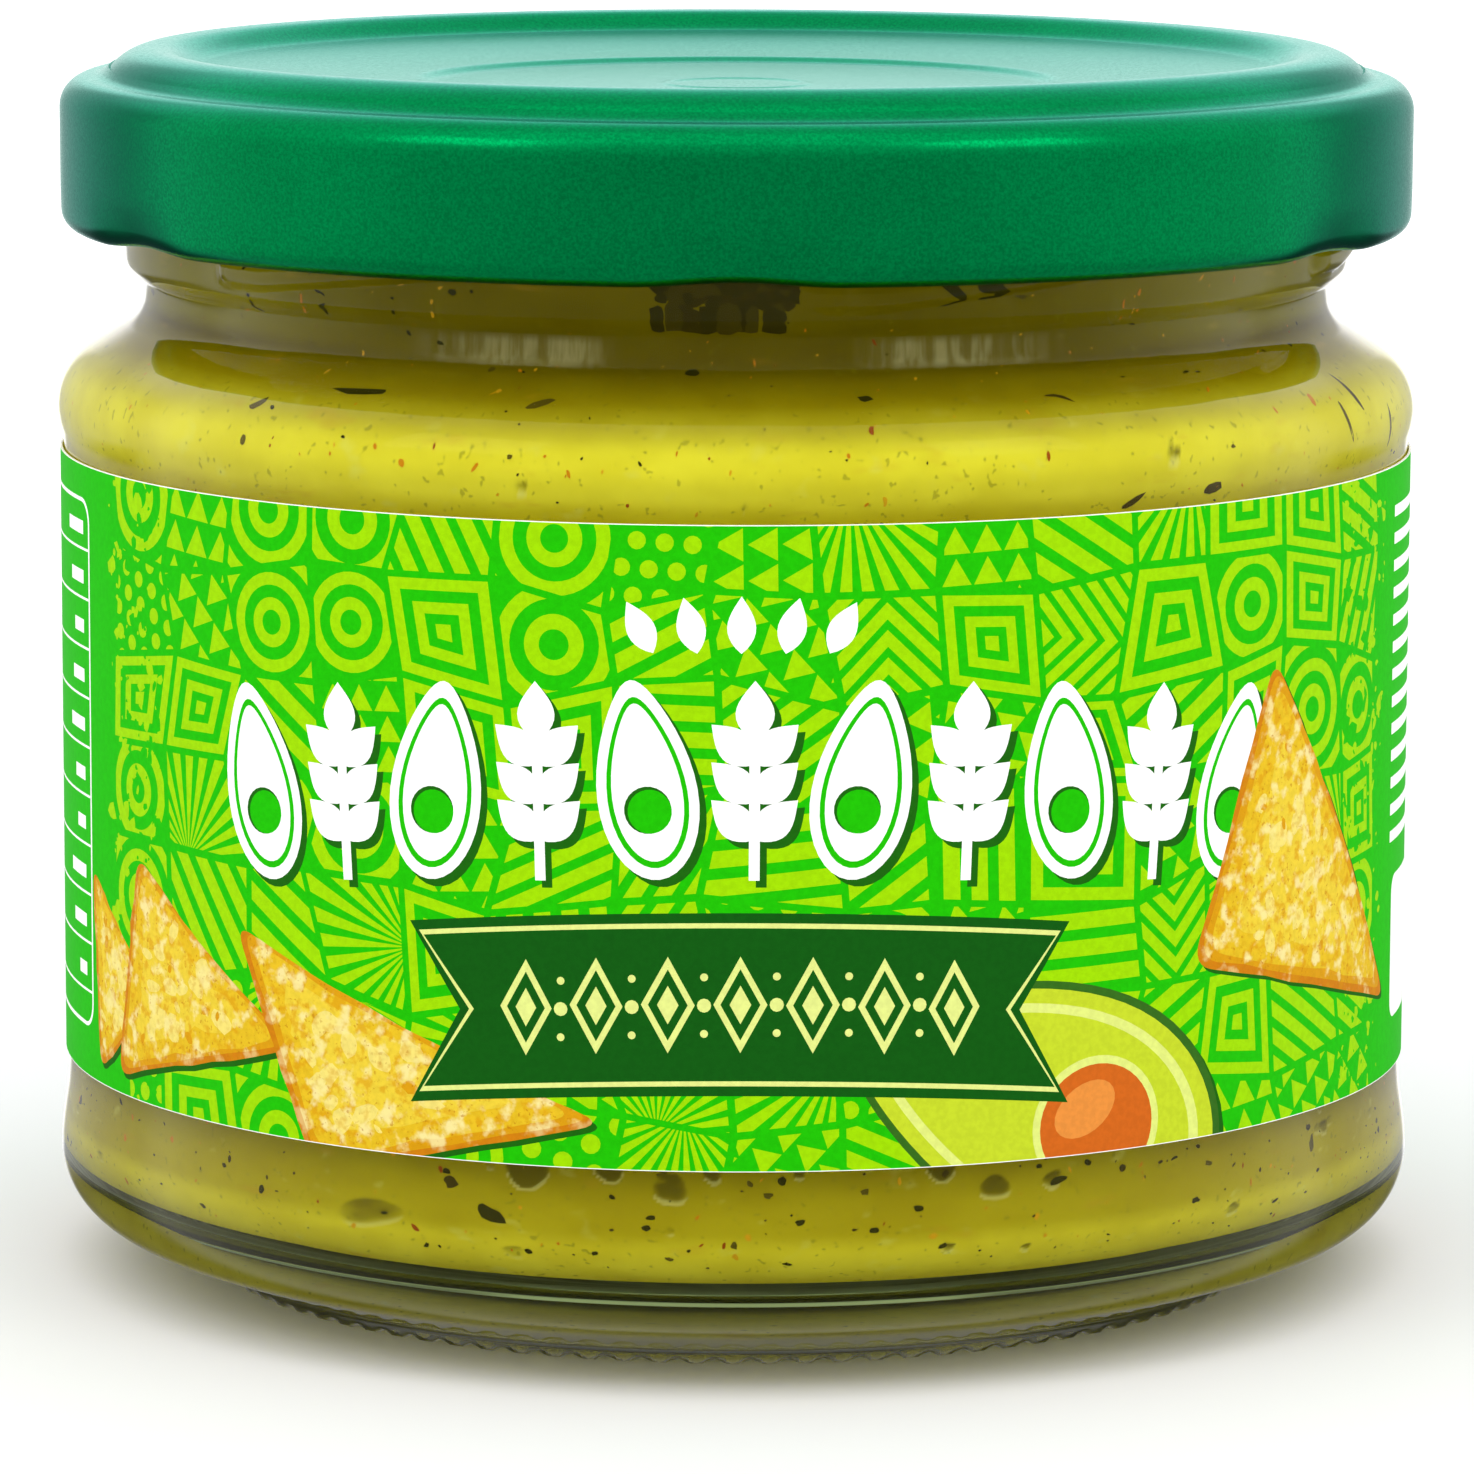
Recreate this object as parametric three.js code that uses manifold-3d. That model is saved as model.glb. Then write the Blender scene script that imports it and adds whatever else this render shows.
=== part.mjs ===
// A shut glass jar of guacamole dip: a low, wide clear jar with a thick base and a knurled foot, the dip that
// fills it, a twist-off metal lid and a wrap-round paper label.
// Millimetres, +Z up. The origin is on the jar's axis, in the plane that it stands on. The label's front faces -Y.
import * as THREE from "three";
import { mergeVertices } from "three/addons/utils/BufferGeometryUtils.js";
import Module from "manifold-3d";

const wasm = await Module();
wasm.setup();

// ---------- driving dimensions ----------

// Round the axis: the jar and its label share their facets, so that the paper lies flat on the glass.
const JAR_FACETS = 64;
const LID_FACETS = 60;
const DIP_FACETS = 48;
const GAP = 0.3; // between the dip and the glass round it

// Foot: a ring of short radial ridges under a flat ring.
const PUSH_UP = 2.8; // height of the hollow under the base, on the axis
const FOOT_INNER = 31.8;
const FOOT_OUTER = 34.0;
const FOOT_RISE = 0.35; // height of the ridges
const RIDGE_COUNT = 96;
const RIDGE_TOP = 1.4; // width of a ridge where it meets the glass
const RIDGE_BOTTOM = 0.85; // width of its flat underside
const RIDGE_LENGTH = 1.9; // along the radius

// Heel: a shallow cone from the foot, then a round bulge.
const HEEL_START = [34.6, 0.95];
const HEEL_RADIUS = 4.7;
const HEEL_WIDEST = 43.39;
const HEEL_WIDEST_HEIGHT = 7.5;
const HEEL_ARC = 68; // degrees of the bulge below its widest point

// Recessed wall for the label.
const PANEL_RADIUS = 42.8;
const PANEL_BOTTOM = 13.0;
const PANEL_TOP = 53.1;

// Shoulder, neck and finish.
const SHOULDER_WIDEST = 43.16;
const SHOULDER_HEIGHT = 55.0;
const SHOULDER_RADIUS = 4.5;
const SHOULDER_ARC = 59; // degrees, until the slope to the neck
const NECK_RADIUS = 37.6;
const NECK_HEIGHT = 62.13;
const NECK_FILLET = 2.2;
const RING_RADIUS = 38.86; // transfer ring that shows under the lid
const RING_BOTTOM = 63.0;
const RING_TOP = 66.6;
const FINISH_RADIUS = 38.2;
const RIM_TOP = 76.8;
const RIM_THICKNESS = 2.4;

// Inside of the jar.
const WALL = 2.3; // at the shoulder
const CAVITY_RADIUS = 40.3;
const FLOOR_CORNER = 6.2; // height of the floor at its round corner
const FLOOR_MIDDLE = 6.6;
const FLOOR_FILLET = 5.7;
const DIP_LEVEL = 72.4;

// Thread: short ridges that rise to the right, one for each lug of the lid.
const THREAD_STARTS = 6;
const THREAD_FIRST = 5; // azimuth of the first low end, in degrees from the front
const THREAD_SWEEP = 62; // degrees
const THREAD_FLAT = 8; // degrees before the ridge begins to climb
const THREAD_LOW = 65.5; // height of the low end's middle
const THREAD_CLIMB = 0.0715; // for each degree
const THREAD_CENTRE = 38.2;
const THREAD_PROUD = 1.45;
const THREAD_HALF_HEIGHT = 1.15;

// Lid: pressed tinplate with a raised rim, a dished panel, a sunk button and a curled edge.
const SHEET = 0.45;
const LID_RADIUS = 42.9;
const LID_CREST = 77.6; // height of the raised rim, and of the whole jar
const CREST_RADIUS = 36.9;
const NOTCH = [40.35, 75.95]; // where the rim meets the rounded corner
const CORNER_RADIUS = 1.9;
const CORNER_HEIGHT = 73.95; // where the corner runs into the skirt
const CURL_RADIUS = 1.3;
const CURL_CENTRE = [41.55, 67.55];
const DISH_EDGE = [33.8, 76.4];
const BUTTON_RADIUS = 20;
const BUTTON_HEIGHT = 75.27;
const BUTTON_STEP = 0.3;
const LUG_COUNT = 6;
const LUG_HALF_WIDTH = 9; // degrees
const LUG_IN = 0.85; // how far a lug is pressed in
const LUG_UP = 0.3; // how far it lifts the edge
const LUG_HEIGHT = 68.9; // where the pressing fades out

// Label: a paper sleeve whose end laps over its start at the back.
const LABEL_BOTTOM = 13.85;
const LABEL_TOP = 52.5;
const LABEL_INNER = 42.88;
const PAPER = 0.15; // thickness of the sleeve
const LAP_FACETS = 1; // width of the lap, in the jar's facets

const DEGREE = Math.PI / 180;

// ---------- helpers ----------

// A point of a profile: distance from the axis, and height.
const point = (radius, height) => new THREE.Vector2(radius, height);

// Points of a round stretch of profile. An angle of 0 points away from the axis and 90 points up.
function arc(radius, height, size, from, to, steps) {
  const curve = new THREE.EllipseCurve(radius, height, size, size, from * DEGREE, to * DEGREE, to < from);
  return curve.getPoints(steps);
}

// The solid that a profile sweeps round +Z, with the middle of a facet at the front.
function turned(profile, facets) {
  return new THREE.LatheGeometry(profile, facets, -Math.PI / facets).rotateX(Math.PI / 2);
}

// A closed mesh as a solid that can be joined to others.
function solid(geometry) {
  const plain = geometry.clone();
  plain.deleteAttribute("normal");
  plain.deleteAttribute("uv");
  const merged = mergeVertices(plain, 1e-4);
  const mesh = new wasm.Mesh({
    numProp: 3,
    vertProperties: new Float32Array(merged.attributes.position.array),
    triVerts: new Uint32Array(merged.index.array),
  });
  return new wasm.Manifold(mesh);
}

// Several closed meshes joined into one.
function joined(geometries) {
  const whole = geometries.map(solid).reduce((a, b) => a.add(b));
  const mesh = whole.getMesh();
  const geometry = new THREE.BufferGeometry();
  geometry.setAttribute("position", new THREE.BufferAttribute(mesh.vertProperties, 3));
  geometry.setIndex(new THREE.BufferAttribute(mesh.triVerts, 1));
  geometry.computeVertexNormals();
  return geometry;
}

function part(name, geometry, colour, roughness, metalness, more = {}) {
  const material = new THREE.MeshStandardMaterial({ color: colour, roughness, metalness, ...more });
  const mesh = new THREE.Mesh(geometry, material);
  mesh.name = name;
  return mesh;
}

// ---------- the jar ----------

// Inside of the jar from the mouth down to the floor's corner, moved inwards by a clearance.
function cavityWall(clearance) {
  const slopeEnd = 180 + SHOULDER_ARC;
  const filletCentre = NECK_RADIUS + NECK_FILLET;
  return [
    ...arc(filletCentre, NECK_HEIGHT, NECK_FILLET + WALL + clearance, 180, slopeEnd, 3),
    ...arc(SHOULDER_WIDEST - SHOULDER_RADIUS, SHOULDER_HEIGHT, SHOULDER_RADIUS - WALL - clearance, SHOULDER_ARC, 0, 2),
    point(CAVITY_RADIUS - clearance, SHOULDER_HEIGHT - 2.5),
    ...arc(CAVITY_RADIUS - FLOOR_FILLET, FLOOR_CORNER + FLOOR_FILLET, FLOOR_FILLET - clearance, 0, -90, 4),
  ];
}

// The glass section: under the base, out over the heel, up the wall, over the rim and down the inside.
function jarProfile() {
  const rimMiddle = FINISH_RADIUS - RIM_THICKNESS / 2;
  const rimCentre = RIM_TOP - RIM_THICKNESS / 2;
  const heelCentre = HEEL_WIDEST - HEEL_RADIUS;
  return [
    point(0, PUSH_UP),
    point(22, PUSH_UP - 0.4),
    point(FOOT_INNER - 0.9, FOOT_RISE + 0.8),
    point(FOOT_INNER, FOOT_RISE),
    point(FOOT_OUTER, FOOT_RISE),
    point(...HEEL_START),
    ...arc(heelCentre, HEEL_WIDEST_HEIGHT, HEEL_RADIUS, -HEEL_ARC, 0, 5),
    point(HEEL_WIDEST - 0.15, HEEL_WIDEST_HEIGHT + 1.9),
    point(PANEL_RADIUS + 0.12, PANEL_BOTTOM - 1.3),
    point(PANEL_RADIUS, PANEL_BOTTOM),
    point(PANEL_RADIUS, PANEL_TOP),
    point(SHOULDER_WIDEST - 0.08, PANEL_TOP + 1.1),
    ...arc(SHOULDER_WIDEST - SHOULDER_RADIUS, SHOULDER_HEIGHT, SHOULDER_RADIUS, 0, SHOULDER_ARC, 4),
    ...arc(NECK_RADIUS + NECK_FILLET, NECK_HEIGHT, NECK_FILLET, 180 + SHOULDER_ARC, 180, 3),
    point(NECK_RADIUS, RING_BOTTOM - 0.1),
    point(RING_RADIUS - 0.35, RING_BOTTOM + 0.85),
    point(RING_RADIUS, RING_TOP - 0.3),
    point(FINISH_RADIUS, RING_TOP + 0.8),
    ...arc(rimMiddle, rimCentre, RIM_THICKNESS / 2, 0, 180, 3),
    ...cavityWall(0),
    point(0, FLOOR_MIDDLE),
  ];
}

// One ridge of the foot, a bar with sloping sides that lies along the radius.
function footRidge(azimuth) {
  const section = new THREE.Shape([
    point(-RIDGE_BOTTOM / 2, 0),
    point(RIDGE_BOTTOM / 2, 0),
    point(RIDGE_TOP / 2, FOOT_RISE * 1.5),
    point(-RIDGE_TOP / 2, FOOT_RISE * 1.5),
  ]);
  const middle = (FOOT_INNER + FOOT_OUTER) / 2;
  return new THREE.ExtrudeGeometry(section, { depth: RIDGE_LENGTH, bevelEnabled: false })
    .rotateX(Math.PI / 2)
    .translate(0, RIDGE_LENGTH / 2 - middle, 0)
    .rotateZ(azimuth);
}

// One thread ridge: an oval section swept along a climbing arc, whose ends sink into the finish.
function threadRidge(start) {
  const section = new THREE.Shape();
  section.absellipse(0, 0, THREAD_HALF_HEIGHT, THREAD_PROUD, 0, 2 * Math.PI, false, 0);
  const stops = [0, 2, THREAD_FLAT, 20, 30, 40, 50, THREAD_SWEEP - 4, THREAD_SWEEP];
  const path = new THREE.CatmullRomCurve3(
    stops.map((along, i) => {
      const sunk = i === 0 || i === stops.length - 1 ? THREAD_PROUD * 0.8 : 0;
      const azimuth = (start + along) * DEGREE;
      const radius = THREAD_CENTRE - sunk;
      const height = THREAD_LOW + Math.max(0, along - THREAD_FLAT) * THREAD_CLIMB;
      return new THREE.Vector3(radius * Math.sin(azimuth), -radius * Math.cos(azimuth), height);
    }),
  );
  return new THREE.ExtrudeGeometry(section, { steps: 9, curveSegments: 3, bevelEnabled: false, extrudePath: path });
}

function jar() {
  const pieces = [turned(jarProfile(), JAR_FACETS)];
  for (let i = 0; i < RIDGE_COUNT; i += 1) pieces.push(footRidge((i * 2 * Math.PI) / RIDGE_COUNT));
  for (let i = 0; i < THREAD_STARTS; i += 1) pieces.push(threadRidge(THREAD_FIRST + (i * 360) / THREAD_STARTS));
  return joined(pieces);
}

// ---------- the dip ----------

function dip() {
  const top = CAVITY_RADIUS - FLOOR_FILLET;
  const mouth = NECK_RADIUS - WALL - GAP;
  return turned(
    [point(0, FLOOR_MIDDLE + GAP), point(top, FLOOR_CORNER + GAP), ...cavityWall(GAP).slice(0, -1).reverse(),
      point(mouth, DIP_LEVEL), point(0, DIP_LEVEL)],
    DIP_FACETS,
  );
}

// ---------- the lid ----------

// The sheet's outside, from the middle of the button out to the skirt, and its inside back to the middle.
function lidProfile() {
  const cornerCentre = LID_RADIUS - CORNER_RADIUS;
  const [curlRadius, curlHeight] = CURL_CENTRE;
  const under = (profile) => profile.map((p) => point(p.x, p.y - SHEET)).reverse();
  const panel = [
    point(0, BUTTON_HEIGHT - 0.05),
    point(BUTTON_RADIUS - 0.6, BUTTON_HEIGHT),
    point(BUTTON_RADIUS + 0.6, BUTTON_HEIGHT + BUTTON_STEP),
    point(...DISH_EDGE),
  ];
  const crest = point(CREST_RADIUS, LID_CREST);
  const notch = point(...NOTCH);
  return [
    ...panel,
    point(CREST_RADIUS - 1.0, LID_CREST - 0.22),
    crest,
    point(CREST_RADIUS + 1.2, LID_CREST - 0.14),
    point(CREST_RADIUS + 2.3, LID_CREST - 0.65),
    notch,
    ...arc(cornerCentre, CORNER_HEIGHT, CORNER_RADIUS, 90, 0, 4),
    ...arc(curlRadius, curlHeight, CURL_RADIUS, 0, -180, 5),
    point(curlRadius - CURL_RADIUS + 0.25, curlHeight + 1.0),
    point(LID_RADIUS - SHEET, curlHeight + 1.6),
    ...arc(cornerCentre, CORNER_HEIGHT, CORNER_RADIUS - SHEET, 0, 90, 2),
    ...under([...panel, crest, notch]),
  ];
}

// Presses the lugs into the curled edge: they draw it towards the axis and lift it a little.
function pressLugs(geometry) {
  const place = geometry.attributes.position;
  const spacing = 360 / LUG_COUNT;
  for (let i = 0; i < place.count; i += 1) {
    const [x, y, z] = [place.getX(i), place.getY(i), place.getZ(i)];
    const azimuth = Math.atan2(x, -y) / DEGREE;
    const off = Math.abs(azimuth - spacing * Math.round(azimuth / spacing)) / LUG_HALF_WIDTH;
    const low = THREE.MathUtils.clamp((LUG_HEIGHT - z) / (LUG_HEIGHT - CURL_CENTRE[1]), 0, 1);
    const press = off < 1 ? Math.cos((off * Math.PI) / 2) ** 2 * low : 0;
    const shrink = 1 - (LUG_IN * press) / Math.hypot(x, y);
    if (press > 0) place.setXYZ(i, x * shrink, y * shrink, z + LUG_UP * press);
  }
  return geometry;
}

function lid() {
  const geometry = pressLugs(turned(lidProfile().reverse(), LID_FACETS));
  geometry.computeVertexNormals();
  return geometry;
}

// ---------- the label ----------

function label() {
  const outer = LABEL_INNER + PAPER;
  const sleeve = turned(
    [
      point(LABEL_INNER, LABEL_BOTTOM),
      point(outer, LABEL_BOTTOM),
      point(outer, LABEL_TOP),
      point(LABEL_INNER, LABEL_TOP),
      point(LABEL_INNER, LABEL_BOTTOM),
    ],
    JAR_FACETS,
  );
  const width = 2 * outer * Math.tan((LAP_FACETS * Math.PI) / JAR_FACETS);
  const lap = new THREE.BoxGeometry(width, 2 * PAPER, LABEL_TOP - LABEL_BOTTOM);
  lap.translate(0, outer * Math.cos(Math.PI / JAR_FACETS), (LABEL_BOTTOM + LABEL_TOP) / 2);
  return joined([sleeve, lap]);
}

const whole = new THREE.Group();
whole.add(
  part("jar_glass", jar(), 0xdfeee2, 0.03, 0, { transparent: true, opacity: 0.35 }),
  part("dip", dip(), 0xd2c436, 0.45, 0),
  part("lid", lid(), 0x008c5a, 0.32, 0.3),
  part("label", label(), 0x1fc82a, 0.5, 0),
);

export default whole;
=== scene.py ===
"""A shut glass jar of guacamole dip: clear glass, the dip in it with its herbs, bubbles and specks, a
lacquered metal twist-off lid and a printed paper label. Lengths are in millimetres until a mesh is made."""

import math

import bpy
import numpy as np
from mathutils import Matrix, Vector
from mathutils.geometry import delaunay_2d_cdt


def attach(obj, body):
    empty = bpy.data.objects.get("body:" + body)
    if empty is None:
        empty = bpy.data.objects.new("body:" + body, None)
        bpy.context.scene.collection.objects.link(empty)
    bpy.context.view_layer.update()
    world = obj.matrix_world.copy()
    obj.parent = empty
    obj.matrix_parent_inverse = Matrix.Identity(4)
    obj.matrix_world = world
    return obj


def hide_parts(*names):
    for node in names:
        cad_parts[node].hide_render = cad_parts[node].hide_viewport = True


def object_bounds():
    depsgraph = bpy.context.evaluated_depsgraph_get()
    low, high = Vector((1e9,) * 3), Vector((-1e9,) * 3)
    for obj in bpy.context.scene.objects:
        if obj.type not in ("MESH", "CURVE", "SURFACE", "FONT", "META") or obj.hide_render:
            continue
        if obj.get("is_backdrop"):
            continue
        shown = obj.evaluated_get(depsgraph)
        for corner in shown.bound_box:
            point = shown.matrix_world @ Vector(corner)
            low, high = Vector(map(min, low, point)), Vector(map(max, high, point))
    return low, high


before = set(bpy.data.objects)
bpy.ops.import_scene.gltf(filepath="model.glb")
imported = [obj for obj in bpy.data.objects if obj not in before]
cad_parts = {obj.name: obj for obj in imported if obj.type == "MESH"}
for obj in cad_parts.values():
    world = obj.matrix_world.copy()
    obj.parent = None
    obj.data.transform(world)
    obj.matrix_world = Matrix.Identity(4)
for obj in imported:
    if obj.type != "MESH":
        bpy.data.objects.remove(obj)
cad_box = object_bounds()

MM = 0.001

# ---------- the jar's sizes, as in the solids ----------

PUSH_UP = 2.8
FOOT_INNER, FOOT_OUTER, FOOT_RISE = 31.8, 34.0, 0.35
RIDGES, RIDGE_STEPS, RIDGES_BELOW = 96, 6, 0.6
HEEL_START = (34.6, 0.95)
HEEL_RADIUS, HEEL_WIDEST, HEEL_WIDEST_HEIGHT, HEEL_ARC = 4.7, 43.33, 7.5, 68
PANEL_RADIUS, PANEL_BOTTOM, PANEL_TOP = 42.8, 13.0, 53.1
SHOULDER_WIDEST, SHOULDER_HEIGHT, SHOULDER_RADIUS, SHOULDER_ARC = 43.16, 55.0, 4.5, 59
NECK_RADIUS, NECK_HEIGHT, NECK_FILLET = 37.6, 62.13, 2.2
RING_RADIUS, RING_BOTTOM, RING_TOP = 38.86, 63.0, 66.6
FINISH_RADIUS, RIM_TOP, RIM_THICKNESS = 38.2, 76.8, 2.4
WALL, CAVITY_RADIUS = 2.3, 40.3
FLOOR_CORNER, FLOOR_MIDDLE, FLOOR_FILLET = 6.2, 6.6, 5.7
DIP_LEVEL = 72.4
MOUTH_LINE = np.array([
    (NECK_RADIUS - WALL, NECK_HEIGHT + 0.4), (FINISH_RADIUS - RIM_THICKNESS, RIM_TOP - 2)
])
THREADS, THREAD_FIRST, THREAD_SWEEP, THREAD_FLAT, THREADS_BELOW = 6, 5, 62, 8, 72
THREAD_LOW, THREAD_CLIMB, THREAD_PROUD, THREAD_HALF = 65.5, 0.0715, 1.35, 1.15

# ---------- the lid's sizes ----------

SHEET = 0.45
LID_RADIUS, LID_CREST, CREST_RADIUS = 42.85, 77.6, 36.9
NOTCH = (40.35, 75.95)
CORNER_RADIUS, CORNER_HEIGHT = 1.9, 73.95
CURL_RADIUS, CURL_CENTRE = 1.3, (41.5, 67.55)
DISH_EDGE = (33.8, 76.4)
BUTTON_RADIUS, BUTTON_HEIGHT, BUTTON_STEP = 20.0, 75.27, 0.3
LUGS, LUG_HALF_WIDTH, LUG_IN, LUG_UP, LUG_HEIGHT = 6, 9, 0.3, 0.3, 69.2

# ---------- the label's sizes ----------

LABEL_BOTTOM, LABEL_TOP, LABEL_INNER, PAPER = 13.85, 52.5, 42.88, 0.13

DEGREE = math.pi / 180


# ---------- profiles and surfaces ----------


def arc(radius, height, size, start, end, steps):
    """Points of a circle of that size round (radius, height). Angle 0 points away from the axis, 90 up."""
    angle = np.radians(np.linspace(start, end, steps + 1))
    return np.stack([radius + size * np.cos(angle), height + size * np.sin(angle)], -1)


def line(start, end, steps):
    """Points from start up to end, without end."""
    share = np.arange(steps)[:, None] / steps
    return np.array(start, float) + share * (np.array(end, float) - np.array(start, float))


def smooth_step(x):
    """0 below 0, 1 above 1, and 3x^2 - 2x^3 between them."""
    x = np.clip(x, 0, 1)
    return x * x * (3 - 2 * x)


def half_wave(x):
    """From 0 at 0 to 1 at 1 along half a cosine wave."""
    return 0.5 - 0.5 * np.cos(np.pi * x)


def across_and_up(across, up):
    """Rows of points from their two numbers."""
    return np.stack(np.broadcast_arrays(across, up), -1)


def mesh_object(name, points, faces, sides, smooth_angle=40):
    """A mesh object from point rows and one flat array of face corners, sides[i] of them for face i."""
    mesh = bpy.data.meshes.new(name)
    mesh.vertices.add(len(points))
    mesh.vertices.foreach_set("co", (np.asarray(points, float) * MM).astype(np.float32).ravel())
    mesh.loops.add(len(faces))
    mesh.loops.foreach_set("vertex_index", np.asarray(faces, np.int32))
    mesh.polygons.add(len(sides))
    starts = np.concatenate([[0], np.cumsum(sides)[:-1]])
    mesh.polygons.foreach_set("loop_start", starts.astype(np.int32))
    mesh.polygons.foreach_set("use_smooth", np.ones(len(sides), bool))
    mesh.update(calc_edges=True)
    mesh.validate()
    mesh.set_sharp_from_angle(angle=math.radians(smooth_angle))
    obj = bpy.data.objects.new(name, mesh)
    bpy.context.scene.collection.objects.link(obj)
    return obj


def spun(profile, count):
    """Directions round the axis, and a profile's radii and heights as grids over them."""
    azimuth = np.arange(count) * 2 * np.pi / count
    return azimuth, np.repeat(profile[:, :1], count, 1), np.repeat(profile[:, 1:], count, 1)


def turned(name, radius, height, azimuth, smooth_angle=40):
    """A surface round the axis. Row i, column j lies at (r sin a, -r cos a, z) with r and z from the two
    grids and a from azimuth[j], so a = 0 is the front. A first or last row on the axis becomes one point."""
    radius, height, _ = np.broadcast_arrays(radius, height, azimuth[None, :])
    grid = np.stack([radius * np.sin(azimuth), -radius * np.cos(azimuth), height], -1)
    low_pole, high_pole = np.all(radius[0] == 0), np.all(radius[-1] == 0)
    body = grid[int(low_pole) : len(grid) - int(high_pole)]
    points = body.reshape(-1, 3)
    columns = len(azimuth)
    around = np.arange(columns)
    after = (around + 1) % columns
    row = np.arange(len(body) - 1)[:, None] * columns
    quads = [row + around, row + after, row + columns + after, row + columns + around]
    last = (len(body) - 1) * columns
    fans = []
    if low_pole:
        fans.append([np.full(columns, len(points)), after, around])
        points = np.vstack([points, grid[0, :1]])
    if high_pole:
        fans.append([last + around, last + after, np.full(columns, len(points))])
        points = np.vstack([points, grid[-1, :1]])
    faces = np.concatenate([np.stack(part, -1).ravel() for part in [quads, *fans]])
    sides = np.repeat([4, 3], [quads[0].size, len(fans) * columns])
    return mesh_object(name, points, faces, sides, smooth_angle)


def finished(piece, material, node=None):
    """Gives a piece its material and its place on the body, and hides the part of the solids that it stands
    for.
    """
    piece.data.materials.append(material)
    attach(piece, "root")
    if node:
        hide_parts(node)


# ---------- the glass ----------


def cavity_wall(clearance):
    """The jar's inside from the mouth down to the floor's corner, moved inwards by a clearance."""
    shoulder = SHOULDER_WIDEST - SHOULDER_RADIUS, SHOULDER_HEIGHT, SHOULDER_RADIUS - WALL - clearance
    corner_centre = CAVITY_RADIUS - FLOOR_FILLET, FLOOR_CORNER + FLOOR_FILLET
    corner = arc(*corner_centre, FLOOR_FILLET - clearance, 0, -90, 18)
    neck_fillet = NECK_FILLET + WALL + clearance
    return np.vstack([
        arc(NECK_RADIUS + NECK_FILLET, NECK_HEIGHT, neck_fillet, 180, 180 + SHOULDER_ARC, 8),
        arc(*shoulder, SHOULDER_ARC, 0, 8),
        line((CAVITY_RADIUS - clearance, SHOULDER_HEIGHT - 2.5), corner[0], 13),
        corner,
    ])


def jar_profile():
    """The glass section: under the base, out over the heel, up the wall, over the rim, down the inside."""
    under = np.linspace(0, FOOT_INNER - 0.9, 8)
    heel = arc(HEEL_WIDEST - HEEL_RADIUS, HEEL_WIDEST_HEIGHT, HEEL_RADIUS, -HEEL_ARC, 0, 14)
    ease = np.linspace(0, 1, 6)
    shoulder = arc(SHOULDER_WIDEST - SHOULDER_RADIUS, SHOULDER_HEIGHT, SHOULDER_RADIUS, 0, SHOULDER_ARC, 14)
    neck = arc(NECK_RADIUS + NECK_FILLET, NECK_HEIGHT, NECK_FILLET, 180 + SHOULDER_ARC, 180, 9)
    rim = arc(FINISH_RADIUS - RIM_THICKNESS / 2, RIM_TOP - RIM_THICKNESS / 2, RIM_THICKNESS / 2, 0, 180, 6)
    return np.vstack([
        across_and_up(under, PUSH_UP - 1.65 * (under / under[-1]) ** 3),
        [(FOOT_INNER - 0.4, FOOT_RISE + 0.3), (FOOT_INNER - 0.1, FOOT_RISE + 0.04)],
        line((FOOT_INNER + 0.1, FOOT_RISE), (FOOT_OUTER, FOOT_RISE), 7),
        np.array([(0, 0), (0.25, 0.12), (0.45, 0.34)]) + (FOOT_OUTER, FOOT_RISE),
        line(HEEL_START, heel[0], 5),
        heel,
        across_and_up(
            HEEL_WIDEST + (PANEL_RADIUS - HEEL_WIDEST) * half_wave(ease[1:]),
            HEEL_WIDEST_HEIGHT + (PANEL_BOTTOM - HEEL_WIDEST_HEIGHT) * ease[1:],
        ),
        line((PANEL_RADIUS, PANEL_BOTTOM + 1), (PANEL_RADIUS, PANEL_TOP), 3),
        [(PANEL_RADIUS, PANEL_TOP), (PANEL_RADIUS + 0.13, PANEL_TOP + 0.6)],
        [(SHOULDER_WIDEST - 0.06, PANEL_TOP + 1.2)],
        shoulder,
        line(shoulder[-1], neck[0], 3)[1:],
        neck,
        across_and_up(
            NECK_RADIUS + (RING_RADIUS - 0.1 - NECK_RADIUS) * half_wave(ease),
            np.linspace(RING_BOTTOM - 0.1, RING_BOTTOM + 1.2, 6),
        ),
        line((RING_RADIUS - 0.06, RING_BOTTOM + 1.5), (RING_RADIUS, RING_TOP), 10),
        line((RING_RADIUS - 0.1, RING_TOP + 0.2), (FINISH_RADIUS, RING_TOP + 1), 3),
        line((FINISH_RADIUS, RING_TOP + 1), (FINISH_RADIUS, RIM_TOP - RIM_THICKNESS / 2), 11),
        rim,
        line(MOUTH_LINE[1], MOUTH_LINE[0], 5),
        cavity_wall(0),
        across_and_up(
            np.linspace(CAVITY_RADIUS - FLOOR_FILLET - 4, 0, 4), np.linspace(FLOOR_CORNER, FLOOR_MIDDLE, 4)
        ),
    ])


def foot_ridges(radius, azimuth):
    """How far the foot's ridges stand down: rounded bars, evenly round the jar, inside the flat ring."""
    phase = (azimuth * RIDGES / (2 * np.pi) + 0.5) % 1 - 0.5
    bar = 1 - smooth_step((np.abs(phase) - 0.2) / 0.24)
    inner = smooth_step((radius - FOOT_INNER) / 0.25)
    outer = smooth_step((FOOT_OUTER + 0.2 - radius) / 0.3)
    return FOOT_RISE * bar * inner * outer


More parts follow.
